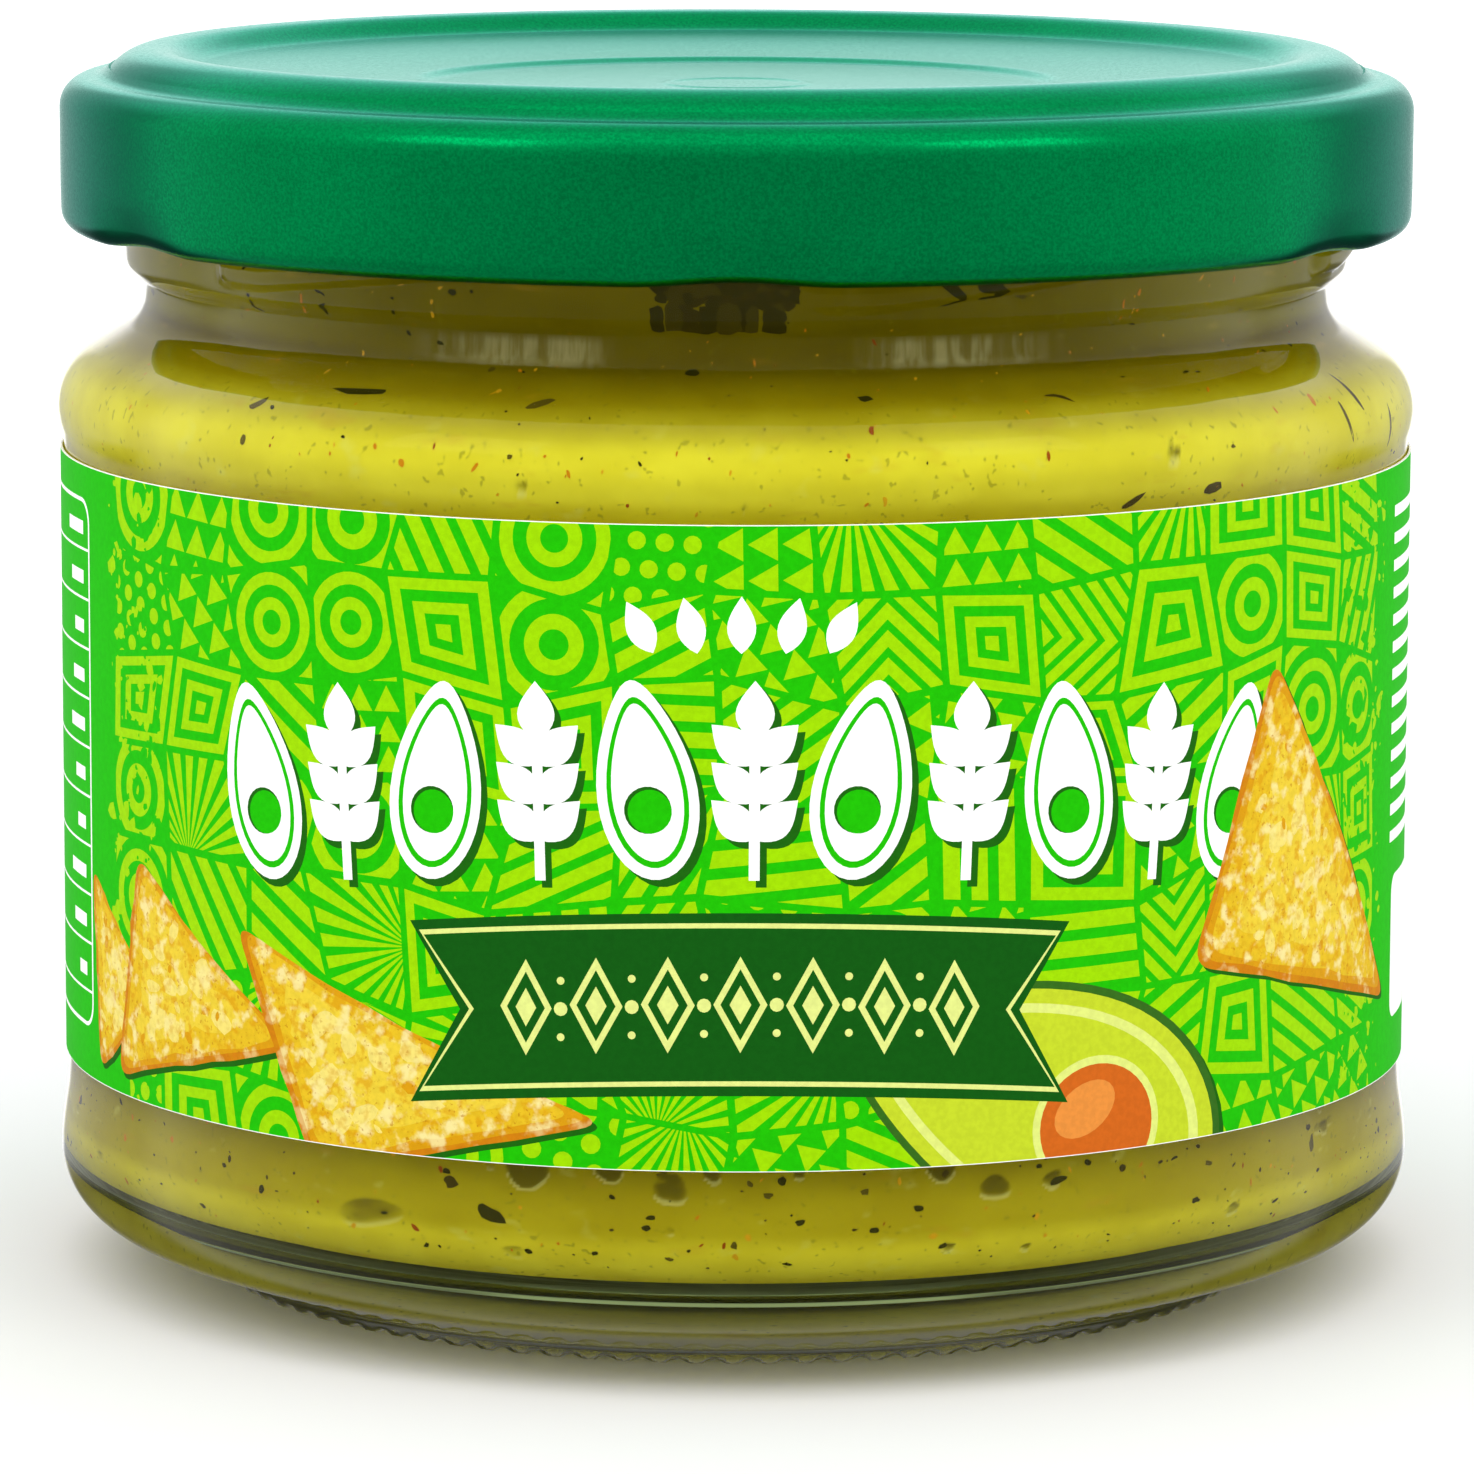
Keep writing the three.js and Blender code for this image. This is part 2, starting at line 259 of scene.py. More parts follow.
def thread_radius(azimuth, height):
    """How far the thread reaches: for each start an oval ridge round a line that runs level and then climbs,
    faded at both ends."""
    degrees = azimuth / DEGREE
    reach = 0
    for start in range(THREADS):
        along = (degrees - THREAD_FIRST - start * 360 / THREADS + 90) % 360 - 90
        middle = THREAD_LOW + np.maximum(0, along - THREAD_FLAT) * THREAD_CLIMB
        oval_reach = np.sqrt(np.clip(1 - ((height - middle) / THREAD_HALF) ** 2, 0, 1))
        ends = np.sqrt(np.clip(along / 3, 0, 1)) * smooth_step((THREAD_SWEEP - along) / 6)
        reach = np.maximum(reach, THREAD_PROUD * oval_reach * ends)
    return FINISH_RADIUS + reach


def waves(azimuth, height, seed, reach, count=9):
    """A slow unevenness of glass: sine waves round the jar and up it, with seeded turns and phases."""
    rng = np.random.default_rng(seed)
    total = 0
    for _ in range(count):
        turns = rng.integers(2, 15)
        tall = rng.uniform(-0.35, 0.35)
        phase = rng.uniform(0, 2 * np.pi)
        total = total + np.sin(turns * azimuth + tall * height + phase) / count
    return reach * total


def make_glass():
    """The glass: its section turned round, with ridges, threads and an uneven inside and underside."""
    profile = jar_profile()
    azimuth, radius, height = spun(profile, RIDGES * RIDGE_STEPS)
    height = height - np.where(height < RIDGES_BELOW, foot_ridges(radius, azimuth), 0)
    pushed_up = (profile[:, :1] < FOOT_INNER - 1) & (profile[:, 1:] < PUSH_UP + 0.1)
    height = height + np.where(pushed_up, underside_waves(azimuth, radius), 0)
    outside = np.arange(len(profile)) <= np.argmax(profile[:, 1])
    threaded = outside & (profile[:, 1] > RING_BOTTOM + 0.4) & (profile[:, 1] < THREADS_BELOW)
    threads = np.maximum(radius, thread_radius(azimuth, height))
    radius = np.where(threaded[:, None], threads, radius)
    inside = ~outside & (profile[:, 0] > 0)
    radius = radius + np.where(inside[:, None], inner_waves(azimuth, height), 0)
    return turned("jar_glass_body", radius, height, azimuth, smooth_angle=50)


def underside_waves(azimuth, radius):
    """The base's unevenness underneath, with the ends of the foot's ridges running a little way in."""
    ends = 0.22 * np.cos(RIDGES * azimuth) * smooth_step((radius - 22) / 8)
    return waves(azimuth, radius, 5, 0.9, 12) * radius / FOOT_INNER + ends


def inner_waves(azimuth, height):
    """The inside's unevenness, which fades out towards the floor and the neck."""
    fade = smooth_step((height - FLOOR_CORNER) / 3) * smooth_step((NECK_HEIGHT - 1 - height) / 4)
    return waves(azimuth, height, 3, 0.12) * fade


# ---------- the dip ----------

DIP_BITE = 0.06  # how far the dip reaches into the glass, so that no air shows between them
# The dip shows up to LOW_TO and from HIGH_FROM to HIGH_TO, and is meshed more finely there, with a step in
# millimetres for each stretch, and in front, with steps in degrees.
LOW_TO, HIGH_FROM, HIGH_TO = 14.6, 51.6, 66.8
SIDE_STEPS = (0.18, 2.6, 0.5, 0.9)
FRONT_HALF, FRONT_STEP, BACK_STEP = 62, 0.3, 1.2


def dip_side():
    """The dip's side in even steps: the way along it, its radius, height and outward direction."""
    wall = cavity_wall(-DIP_BITE)[::-1]
    low, high = MOUTH_LINE + (DIP_BITE, 0)
    top = low + (high - low) * (DIP_LEVEL - low[1]) / (high[1] - low[1])
    side = np.vstack([wall, line(low, top, 8), [top]])
    way = np.concatenate([[0], np.cumsum(np.hypot(*np.diff(side, axis=0).T))])
    even = np.arange(0, way[-1], 0.05)
    radius, height = np.interp(even, way, side[:, 0]), np.interp(even, way, side[:, 1])
    out = np.stack([np.gradient(height), -np.gradient(radius)], -1)
    return even, radius, height, out / np.hypot(*out.T)[:, None]


SIDE = dip_side()


def on_side(azimuth, way, out):
    """Points on the dip's side, at a way up it from the floor's flat and moved outwards."""
    even, radius, height, direction = SIDE
    r = np.interp(way, even, radius) + out * np.interp(way, even, direction[:, 0])
    z = np.interp(way, even, height) + out * np.interp(way, even, direction[:, 1])
    r = r + inner_waves(azimuth, z)
    return np.stack([r * np.sin(azimuth), -r * np.cos(azimuth), z], -1)


def way_at(height):
    """The way up the side at a height. The floor's corner makes it longer than the height."""
    return np.interp(height, SIDE[2], SIDE[0])


def side_rows():
    """Ways up the side for the mesh's rows, close together where the dip shows."""
    stops = [0, *way_at([LOW_TO, HIGH_FROM, HIGH_TO]), SIDE[0][-1]]
    parts = [
        np.linspace(low, high, int(math.ceil((high - low) / step)), endpoint=False)
        for low, high, step in zip(stops, stops[1:], SIDE_STEPS)
    ]
    return np.concatenate(parts + [[stops[-1]]])


def dip_azimuths():
    """Directions round the jar, closer together in front."""
    front = np.arange(-FRONT_HALF, FRONT_HALF, FRONT_STEP)
    wide = 360 - 2 * FRONT_HALF
    rest = np.linspace(FRONT_HALF, 360 - FRONT_HALF, int(wide / BACK_STEP), endpoint=False)
    return np.concatenate([front, rest]) * DEGREE


# Air bubbles against the glass: degrees to the right of the front, height, half width and height, slant and
# depth.
FRONT_BUBBLES = (
    (-32.4, 9.3, 2.3, 0.95, 12, 0.38),
    (-19.1, 7.7, 0.7, 0.6, 0, 0.2),
    (18.6, 8.1, 0.45, 0.4, 0, 0.35),
    (26.0, 7.7, 0.36, 0.34, 0, 0.3),
    (-17.4, 13.0, 1.25, 0.95, 0, 1.1),
    (-10.3, 13.4, 0.85, 0.7, 0, 0.9),
    (-5.8, 13.1, 0.34, 0.34, 0, 0.5),
    (-1.7, 13.3, 0.55, 0.5, 0, 0.6),
    (5.5, 13.3, 0.36, 0.34, 0, 0.5),
    (17.6, 13.3, 0.9, 0.75, 0, 0.9),
    (38.8, 55.4, 0.5, 0.45, 0, 0.4),
)


def in_place(*rows):
    """Rows of a direction in degrees, a height, two sizes, a slant in degrees and one more number, now with
    radians in place of degrees and the way up the side in place of the height."""
    rows = np.vstack(rows)
    rows[:, 1] = way_at(rows[:, 1])
    rows[:, [0, 4]] *= DEGREE
    return rows


def bubbles():
    """The front's bubbles and scattered ones: rows of azimuth, way, half sizes, slant and depth."""
    rng = np.random.default_rng(23)
    low, high = 34, 8
    count = low + high
    height = np.concatenate([rng.uniform(8, 14.2, low), rng.uniform(52.3, 57, high)])
    size = (0.3 + 0.75 * rng.random(count) ** 3) * np.where(height < 20, 1.0, 0.45)
    return in_place(FRONT_BUBBLES, np.stack([
        rng.uniform(-180, 180, count), height, size, size * rng.uniform(0.7, 1, count),
        rng.uniform(-30, 30, count), size * 0.55,
    ], -1))


def bubble_depth(azimuth, way):
    """How far the dip stands back from the glass: a bowl with steep sides for each bubble."""
    depth = 0
    for centre, up, half_width, half_height, slant, deep in bubbles():
        x = ((azimuth - centre + np.pi) % (2 * np.pi) - np.pi) * CAVITY_RADIUS
        y = way - up
        along = (x * math.cos(slant) + y * math.sin(slant)) / half_width
        across = (y * math.cos(slant) - x * math.sin(slant)) / half_height
        uneven_edge = 0.16 * np.sin(3 * np.arctan2(across, along) + 40 * centre)
        depth = np.maximum(depth, deep * np.clip(1.15 - along**2 - across**2 + uneven_edge, 0, 1) ** 0.7)
    return depth


def store(piece, name, share):
    """Stores a share at each point of a piece."""
    share = np.asarray(share).astype(np.float32)
    piece.data.attributes.new(name, "FLOAT", "POINT").data.foreach_set("value", share)


def make_dip():
    """The dip: its flat under side, its side with the bubbles, and its level top, as one closed surface. Two
    shares are stored at its points for painted light and shade in the bubbles: painted shade, from how
    hollow a bubble is there and how much its wall faces down, and painted light, from how much its wall
    there faces up."""
    azimuth = dip_azimuths()
    way = side_rows()[:, None]
    hollow = bubble_depth(azimuth, way)
    lit = bubble_depth(azimuth, way + 0.15) - bubble_depth(azimuth, way - 0.15)
    # Painted shade in the bubbles: darker where a bubble is deeper and where its wall faces down; painted
    # light where it faces up.
    shaded = 0.8 * hollow + np.clip(-lit, 0, 0.5)
    lit = lit * np.clip(1 - hollow / 0.5, 0, 1)
    points = on_side(azimuth, way, -np.minimum(hollow, DIP_BITE - 0.01))
    radius, height = np.hypot(points[..., 0], points[..., 1]), points[..., 2]
    mouth, top = radius[-1:], height[-1:] + 0.05
    under = np.linspace(0, 1, 6)[:-1, None]
    floor = FLOOR_MIDDLE - DIP_BITE + (height[:1] - FLOOR_MIDDLE + DIP_BITE) * under
    radius_rows = np.vstack([under * radius[:1], radius, mouth - 0.4, 0.5 * mouth, 0 * mouth])
    dip = turned("dip_filling", radius_rows, np.vstack([floor, height, top, top, top]), azimuth)
    first = 4 * len(azimuth)
    # The painted shade is stored as "hollow", the painted light as "lit".
    for name, share in (("hollow", shaded / 0.5), ("lit", lit / 0.2)):
        shade = np.zeros(len(dip.data.vertices))
        shade[first : first + share.size] = np.clip(share.ravel(), 0, 1)
        store(dip, name, shade)
    return dip


# ---------- herbs and chilli in the dip ----------

FLAKE_CORNERS = 10
HERBS, HEAPED, CHILLIES = 520, 84, 420


def flakes(name, azimuth, way, length, width, slant, bend, rng):
    """Thin bits against the glass in one mesh. Each is an oval of uneven reach with its half length and half
    width given, bent along its length, with a low peak outside and a deeper one inside."""
    count = len(azimuth)
    corner = np.arange(FLAKE_CORNERS) * 2 * np.pi / FLAKE_CORNERS
    reach = rng.uniform(0.7, 1.15, (count, FLAKE_CORNERS))
    length = length[:, None]
    x = length * reach * np.cos(corner)
    y = width[:, None] * reach * np.sin(corner) + bend[:, None] * (x / length) ** 2 * length
    c, s = np.cos(slant)[:, None], np.sin(slant)[:, None]
    radius = np.interp(way, SIDE[0], SIDE[1])[:, None]
    ends = ((0, 0), (1, 1))
    across, up = np.pad(x * c - y * s, ends) / radius, np.pad(x * s + y * c, ends)
    out = np.array([0.07] + [0.03] * FLAKE_CORNERS + [-0.15])
    points = on_side(azimuth[:, None] + across, np.clip(way[:, None] + up, 0.05, SIDE[0][-1]), out)
    k = np.arange(FLAKE_CORNERS)
    after = (k + 1) % FLAKE_CORNERS
    inner_peak = 0 * k + FLAKE_CORNERS + 1
    fan = np.vstack([np.stack([0 * k, k + 1, after + 1], -1), np.stack([inner_peak, after + 1, k + 1], -1)])
    faces = fan[None] + (FLAKE_CORNERS + 2) * np.arange(count)[:, None, None]
    sides = np.full(2 * FLAKE_CORNERS * count, 3)
    return mesh_object(name, points.reshape(-1, 3), faces.ravel(), sides, smooth_angle=60)


# The larger herb bits in front: degrees to the right, height, half length, half width, slant and bend.
FRONT_HERBS = (
    (-35.4, 57.9, 1.9, 0.32, 3, 0.06),
    (-45.1, 57.0, 0.75, 0.24, 30, 0.1),
    (-17.4, 57.9, 1.1, 0.32, 33, 0.05),
    (-4.0, 60.3, 0.5, 0.32, 0, 0),
    (-23.4, 60.0, 0.35, 0.22, 60, 0),
    (-43.0, 65.0, 0.9, 0.2, -60, 0.1),
    (-52.6, 64.3, 0.8, 0.18, -50, 0.1),
    (11.6, 58.3, 0.5, 0.34, 10, 0.1),
    (29.8, 58.0, 0.9, 0.17, -22, -0.3),
    (46.0, 58.6, 0.3, 0.13, 10, 0),
    (47.5, 58.5, 0.25, 0.12, -10, 0),
    (35.0, 53.0, 0.9, 0.24, 33, 0.1),
    (43.5, 53.4, 0.85, 0.4, 12, 0.1),
    (66.0, 56.6, 1.3, 0.2, -62, 0.15),
    (63.0, 55.7, 1.0, 0.18, -68, 0.1),
    (73.0, 55.0, 0.9, 0.2, 85, 0.1),
    (-20.7, 10.1, 1.0, 0.5, -35, 0.1),
    (-24.2, 12.0, 0.5, 0.4, -10, 0),
    (-24.6, 12.7, 0.3, 0.22, 0, 0),
    (-44.1, 9.7, 0.35, 0.22, 60, 0),
    (2.9, 12.0, 0.3, 0.22, 0, 0),
    (15.6, 10.9, 0.35, 0.24, 0, 0),
    (28.3, 12.0, 0.7, 0.26, 15, 0),
    (43.1, 9.3, 0.35, 0.24, 0, 0),
    (58.9, 11.2, 0.3, 0.6, 0, 0),
    (20.5, 65.7, 1.1, 0.3, 38, 0.1),
    (24.3, 66.1, 1.2, 0.45, 22, 0.1),
    (27.5, 65.2, 0.5, 0.3, -30, 0),
)


def scattered(rng, count, low_share):
    """Directions and ways up the side for bits in the two bands where the dip shows."""
    low = rng.random(count) < low_share
    height = np.where(low, rng.uniform(6.9, 14.4, count), rng.uniform(52, 66.3, count))
    return rng.uniform(-np.pi, np.pi, count), way_at(height)


def clump(rng, count):
    """Herb bits heaped on one another in front, just under the lid's edge."""
    return np.stack([
        rng.uniform(-7.4, 5.6, count), 65.4 + rng.uniform(-1.2, 1.6, count), rng.uniform(0.45, 0.95, count),
        rng.uniform(0.35, 0.7, count), rng.uniform(-25, 25, count), rng.uniform(-0.2, 0.2, count),
    ], -1)


def make_herbs():
    rng = np.random.default_rng(7)
    own = in_place(FRONT_HERBS, clump(rng, HEAPED))
    azimuth, way = scattered(rng, HERBS, 0.6)
    length = 0.09 + 0.5 * rng.random(HERBS) ** 4
    length = np.where(np.abs(azimuth) < 75 * DEGREE, np.minimum(length, 0.3), length)
    width = length * rng.uniform(0.35, 0.95, HERBS)
    small = [azimuth, way, length, width, rng.normal(0, 0.8, HERBS), rng.normal(0, 0.12, HERBS)]
    herbs = flakes("herb_flecks", *np.hstack([small, own.T]), rng)
    each = np.arange(HERBS + len(own)) >= HERBS + len(FRONT_HERBS)
    store(herbs, "heaped", np.repeat(each, FLAKE_CORNERS + 2))
    return herbs


def make_chilli():
    rng = np.random.default_rng(9)
    azimuth, way = scattered(rng, CHILLIES, 0.4)
    length = 0.08 + 0.26 * rng.random(CHILLIES) ** 2.4
    width = length * rng.uniform(0.25, 0.8, CHILLIES)
    slant = rng.uniform(0.6, 2.2, CHILLIES)
    return flakes("chilli_specks", azimuth, way, length, width, slant, rng.normal(0, 0.1, CHILLIES), rng)


# ---------- the lid ----------


def lid_top(radius):
    """Height of the panel at a distance from the axis: a small ring, a sunk button and a dished slope."""
    ring = 0.09 * np.exp(-(((radius - 4.4) / 0.32) ** 2))
    button = BUTTON_STEP * smooth_step((radius - BUTTON_RADIUS + 0.6) / 1.2)
    edge_radius, edge_height = DISH_EDGE
    slope = np.clip((radius - BUTTON_RADIUS) / (edge_radius - BUTTON_RADIUS), 0, 1) ** 1.5
    return BUTTON_HEIGHT - 0.04 + ring + button + (edge_height - BUTTON_HEIGHT - BUTTON_STEP) * slope


def lid_outside():
    """The sheet's outside, from the button's middle over the rim and down the skirt to the curl's inside."""
    edge = DISH_EDGE[0]
    low, climb = lid_top(edge), smooth_step(np.linspace(0, 1, 9))
    panel = [[0], np.linspace(1.5, 3.4, 3), np.linspace(3.6, 5.2, 9), np.linspace(7, 18, 5)]
    panel = np.concatenate([*panel, np.linspace(19, 21, 9), np.linspace(22.5, edge - 0.6, 8)])
    curl, curl_height = CURL_CENTRE
    return np.vstack([
        across_and_up(panel, lid_top(panel)),
        across_and_up(np.linspace(edge, CREST_RADIUS - 0.6, 9), low + (LID_CREST - 0.06 - low) * climb),
        arc(CREST_RADIUS + 0.1, LID_CREST - 3.4, 3.4, 93, 38, 10),
        [(39.75, 76.42), (40.1, 76.1), (40.45, 75.93), (40.75, 75.86)],
        arc(LID_RADIUS - CORNER_RADIUS, CORNER_HEIGHT, CORNER_RADIUS, 90, 0, 14),
        line((LID_RADIUS, CORNER_HEIGHT - 0.6), (curl + CURL_RADIUS + 0.03, curl_height + 0.5), 6),
        arc(*CURL_CENTRE, CURL_RADIUS, 0, -180, 16),
        [(curl - CURL_RADIUS + 0.25, curl_height + 1), (LID_RADIUS - SHEET, curl_height + 1.7)],
    ])


def make_lid():
    """The lid: its outside and the same sheet inside, its rolled edge pressed in and up at each lug."""
    inner_panel = np.array([36.9, 33.8, 21, 19, 10, 0])
    inner_height = np.where(inner_panel > 35, LID_CREST, lid_top(inner_panel)) - SHEET
    azimuth, radius, height = spun(np.vstack([
        across_and_up(inner_panel, inner_height)[::-1],
        [(NOTCH[0] - 1.2, NOTCH[1] + 0.2), (NOTCH[0], NOTCH[1] - SHEET)],
        arc(LID_RADIUS - CORNER_RADIUS, CORNER_HEIGHT, CORNER_RADIUS - SHEET, 90, 0, 5),
        lid_outside()[::-1],
    ]), 360)
    spacing = 2 * np.pi / LUGS
    off = np.abs((azimuth + spacing / 2) % spacing - spacing / 2) / (LUG_HALF_WIDTH * DEGREE)
    lug = np.where(off < 1, np.cos(np.minimum(off, 1) * np.pi / 2) ** 2, 0)
    low = smooth_step((LUG_HEIGHT - height) / (LUG_HEIGHT - CURL_CENTRE[1]))
    radius = radius - LUG_IN * lug * low
    height = height + LUG_UP * lug * low
    return turned("lid_shell", radius[::-1], height[::-1], azimuth, smooth_angle=60)


# ---------- materials ----------


def feed(tree, node, inputs):
    """Gives a node's inputs their values. A value that is a socket is linked."""
    for name, value in inputs.items():
        if isinstance(value, bpy.types.NodeSocket):
            tree.links.new(value, node.inputs[name])
        else:
            node.inputs[name].default_value = value


def added(tree, kind, inputs=None, **settings):
    """Adds a node with its settings and inputs, and gives its outputs."""
    node = tree.nodes.new("ShaderNode" + kind)
    for name, value in settings.items():
        setattr(node, name, value)
    feed(tree, node, inputs or {})
    return node.outputs


def own_place(tree):
    """A point's place in its object."""
    return added(tree, "TexCoord")["Object"]


def split(tree, vector):
    return added(tree, "SeparateXYZ", {"Vector": vector})


def maths(tree, operation, *values):
    return added(tree, "Math", dict(enumerate(values)), operation=operation)["Value"]


def product(tree, total, *values):
    for value in values:
        total = maths(tree, "MULTIPLY", total, value)
    return total


def aside_and_up(tree):
    """How far a point is to either side of the middle, and its height."""
    parts = split(tree, own_place(tree))
    return maths(tree, "ABSOLUTE", parts["X"]), parts["Z"]


def noise(tree, scale, detail=2.0, stretch=(1, 1, 1), roughness=0.5):
    """Noise over the object's own place, with about scale bumps in a metre."""
    sized = added(tree, "Mapping", {"Vector": own_place(tree), "Scale": stretch})["Vector"]
    inputs = {"Vector": sized, "Scale": scale, "Detail": detail, "Roughness": roughness}
    return added(tree, "TexNoise", inputs)["Fac"]


def spread(tree, value, low, high, start=0.0, end=1.0):
    """A value eased from start at low to end at high."""
    inputs = {"Value": value, "From Min": low, "From Max": high, "To Min": start, "To Max": end}
    return added(tree, "MapRange", inputs, interpolation_type="SMOOTHSTEP")["Result"]


def mixed(tree, share, first, second, blend="MIX"):
    """Two colours mixed by a share. A colour may be a socket or three numbers."""
    first, second = [(*colour, 1) if isinstance(colour, tuple) else colour for colour in (first, second)]
    return added(tree, "Mix", {0: share, 6: first, 7: second}, data_type="RGBA", blend_type=blend)[2]


def stored(tree, name, output="Fac"):
    """What the mesh stores under a name."""
    return added(tree, "Attribute", attribute_name=name)[output]


def ramp(tree, value, stops, change="LINEAR"):
    """A colour for a value from 0 to 1: stops are (value, colour)."""
    node = tree.nodes.new("ShaderNodeValToRGB")
    feed(tree, node, {"Fac": value})
    node.color_ramp.interpolation = change
    elements = node.color_ramp.elements
    while len(elements) < len(stops):
        elements.new(0.5)
    for element, (position, colour) in zip(elements, stops):
        element.position = position
        element.color = (*colour, 1)
    return node.outputs["Color"]


def new_material(name):
    material = bpy.data.materials.new(name)
    material.use_nodes = True
    tree = material.node_tree
    return material, tree, tree.nodes["Principled BSDF"]


GLASS_TINT, GLASS_DENSITY = (0.62, 0.67, 0.50, 1), 62
STIPPLE, STIPPLE_TOP = 0.3, 4.2  # the roughness under the base, and the height it ends at


def stippled(tree):
    """The roughness of the glass: none, but a soft stipple under the base, inside the foot's ring."""
    place = own_place(tree)
    flat = added(tree, "VectorMath", {0: place, 1: (1, 1, 0)}, operation="MULTIPLY")["Vector"]
    reach = added(tree, "VectorMath", {0: flat}, operation="LENGTH")["Value"]
    under = product(
        tree,
        spread(tree, split(tree, place)["Z"], STIPPLE_TOP * MM, (STIPPLE_TOP + 0.8) * MM, 1.0, 0.0),
        spread(tree, reach, (FOOT_INNER - 1) * MM, FOOT_INNER * MM, 1.0, 0.0),
    )
    return spread(tree, under, 0.0, 1.0, 0.0, STIPPLE)


def clear_glass():
    material, tree, shader = new_material("clear_jar_glass")
    feed(tree, shader, {
        "Base Color": (1, 1, 1, 1), "Roughness": stippled(tree), "IOR": 1.52,
        "Transmission Weight": 1.0, "Specular Tint": (0.2, 0.2, 0.09, 1),
    })
    depth = added(tree, "VolumeAbsorption", {"Color": GLASS_TINT, "Density": GLASS_DENSITY})
    feed(tree, tree.nodes["Material Output"], {"Volume": depth["Volume"]})
    return material


# The dip's colours from the foot to the rim, with painted light and shade in them: painted light at the
# bottom corner and the shoulder, painted shade just under the label and under the lid. Columns: height,
# colour.
DIP_COLOURS_AND_PAINTED_LIGHT = (
    (6.2, (0.97, 0.86, 0.05)),
    (8.3, (0.96, 0.84, 0.03)),
    (9.4, (0.66, 0.55, 0.008)),
    (14.0, (0.51, 0.42, 0.004)),
    (52.5, (0.90, 0.78, 0.01)),
    (54.0, (0.98, 0.90, 0.04)),
    (56.2, (0.98, 0.90, 0.04)),
    (58.0, (0.46, 0.365, 0.003)),
    (60.6, (0.21, 0.16, 0.001)),
    (66.0, (0.27, 0.21, 0.001)),
)


def painted_neck_reflections(tree, aside, up):
    """Painted reflections of the lamps in the neck's glass: pale upright streaks in a patch on each side of
    the neck.
    """
    return product(
        tree,
        spread(tree, up, 60.2 * MM, 61.2 * MM),
        spread(tree, up, 62.2 * MM, 63.2 * MM, 1.0, 0.0),
        spread(tree, aside, 6.5 * MM, 9.5 * MM),
        spread(tree, aside, 13 * MM, 20 * MM, 1.0, 0.0),
        spread(tree, noise(tree, 1500, 3, (1, 1, 0.06)), 0.36, 0.64, 0.1, 0.55),
    )


def dip_material():
    """Yellow-green with painted light and shade by height: painted light at the bottom corner and the
    shoulder, painted shade just under the label and under the lid. Soft pale and dull patches, faint streaks
    and fine speckles, painted reflections of the lamps as pale streaks on the neck, and painted light on the
    neck's sides. The bubbles get painted shade in their hollows and on their upper walls, and painted light
    on their lower walls."""
    material, tree, shader = new_material("avocado_dip")
    aside, up = aside_and_up(tree)
    share_up = added(tree, "MapRange", {"Value": up, "From Min": 0.0, "From Max": RIM_TOP * MM})["Result"]
    # The colour by height holds painted light at the bottom corner and the shoulder, and painted shade just
    # under the label and under the lid.
    colour = ramp(tree, share_up, [(height / RIM_TOP, colour) for height, colour in DIP_COLOURS_AND_PAINTED_LIGHT])
    dull = mixed(tree, 1.0, colour, (0.91, 0.89, 0.7), "MULTIPLY")
    colour = mixed(tree, spread(tree, noise(tree, 190, 3, (1, 1, 1.7)), 0.36, 0.64), dull, colour)
    pale = spread(tree, noise(tree, 420, 2, (1, 1, 1.5)), 0.62, 0.78, 0.0, 0.4)
    # Painted light: the neck paler towards its two sides.
    painted_light_neck_sides = spread(tree, aside, 17 * MM, 34 * MM, 0.0, 0.3)
    for share, tint in (
        (product(tree, pale, spread(tree, up, 56 * MM, 58 * MM, 1.0, 0.1)), (0.93, 0.92, 0.16)),
        (spread(tree, noise(tree, 330, 3, (0.6, 0.6, 2.2)), 0.62, 0.76, 0.0, 0.3), (0.72, 0.42, 0.02)),
        (spread(tree, noise(tree, 2300, 1), 0.66, 0.74, 0.0, 0.45), (0.30, 0.27, 0.01)),
        # Painted reflections of the lamps: pale streaks on the neck.
        (painted_neck_reflections(tree, aside, up), (0.80, 0.74, 0.36)),
        # Painted light on the neck's sides.
        (product(tree, spread(tree, up, 60.2 * MM, 62.5 * MM), painted_light_neck_sides), (0.86, 0.80, 0.02)),
        # Painted shade in the bubbles' hollows and on their upper walls, and painted light on their lower
        # walls.
        (spread(tree, stored(tree, "hollow"), 0.0, 1.0, 0.0, 0.92), (0.16, 0.125, 0.004)),
        (spread(tree, stored(tree, "lit"), 0.1, 1.0, 0.0, 0.42), (0.97, 0.93, 0.30)),
    ):
        colour = mixed(tree, share, colour, tint)
    feed(tree, shader, {"Base Color": colour, "Roughness": 0.6, "Specular IOR Level": 0.0})
    return material


def bit_material(name, *colours):
    """Bits that each take one of three colours, nearly all dark where they are heaped."""
    material, tree, shader = new_material(name)
    each = added(tree, "NewGeometry")["Random Per Island"]
    own = ramp(tree, each, list(zip((0, 0.45, 0.8), colours)), "CONSTANT")
    dark = spread(tree, stored(tree, "heaped"), 0.0, 1.0, 0.0, 0.7)
    colour = mixed(tree, dark, own, (0.055, 0.043, 0.004))
    feed(tree, shader, {"Base Color": colour, "Roughness": 0.7, "Specular IOR Level": 0.0})
    return material


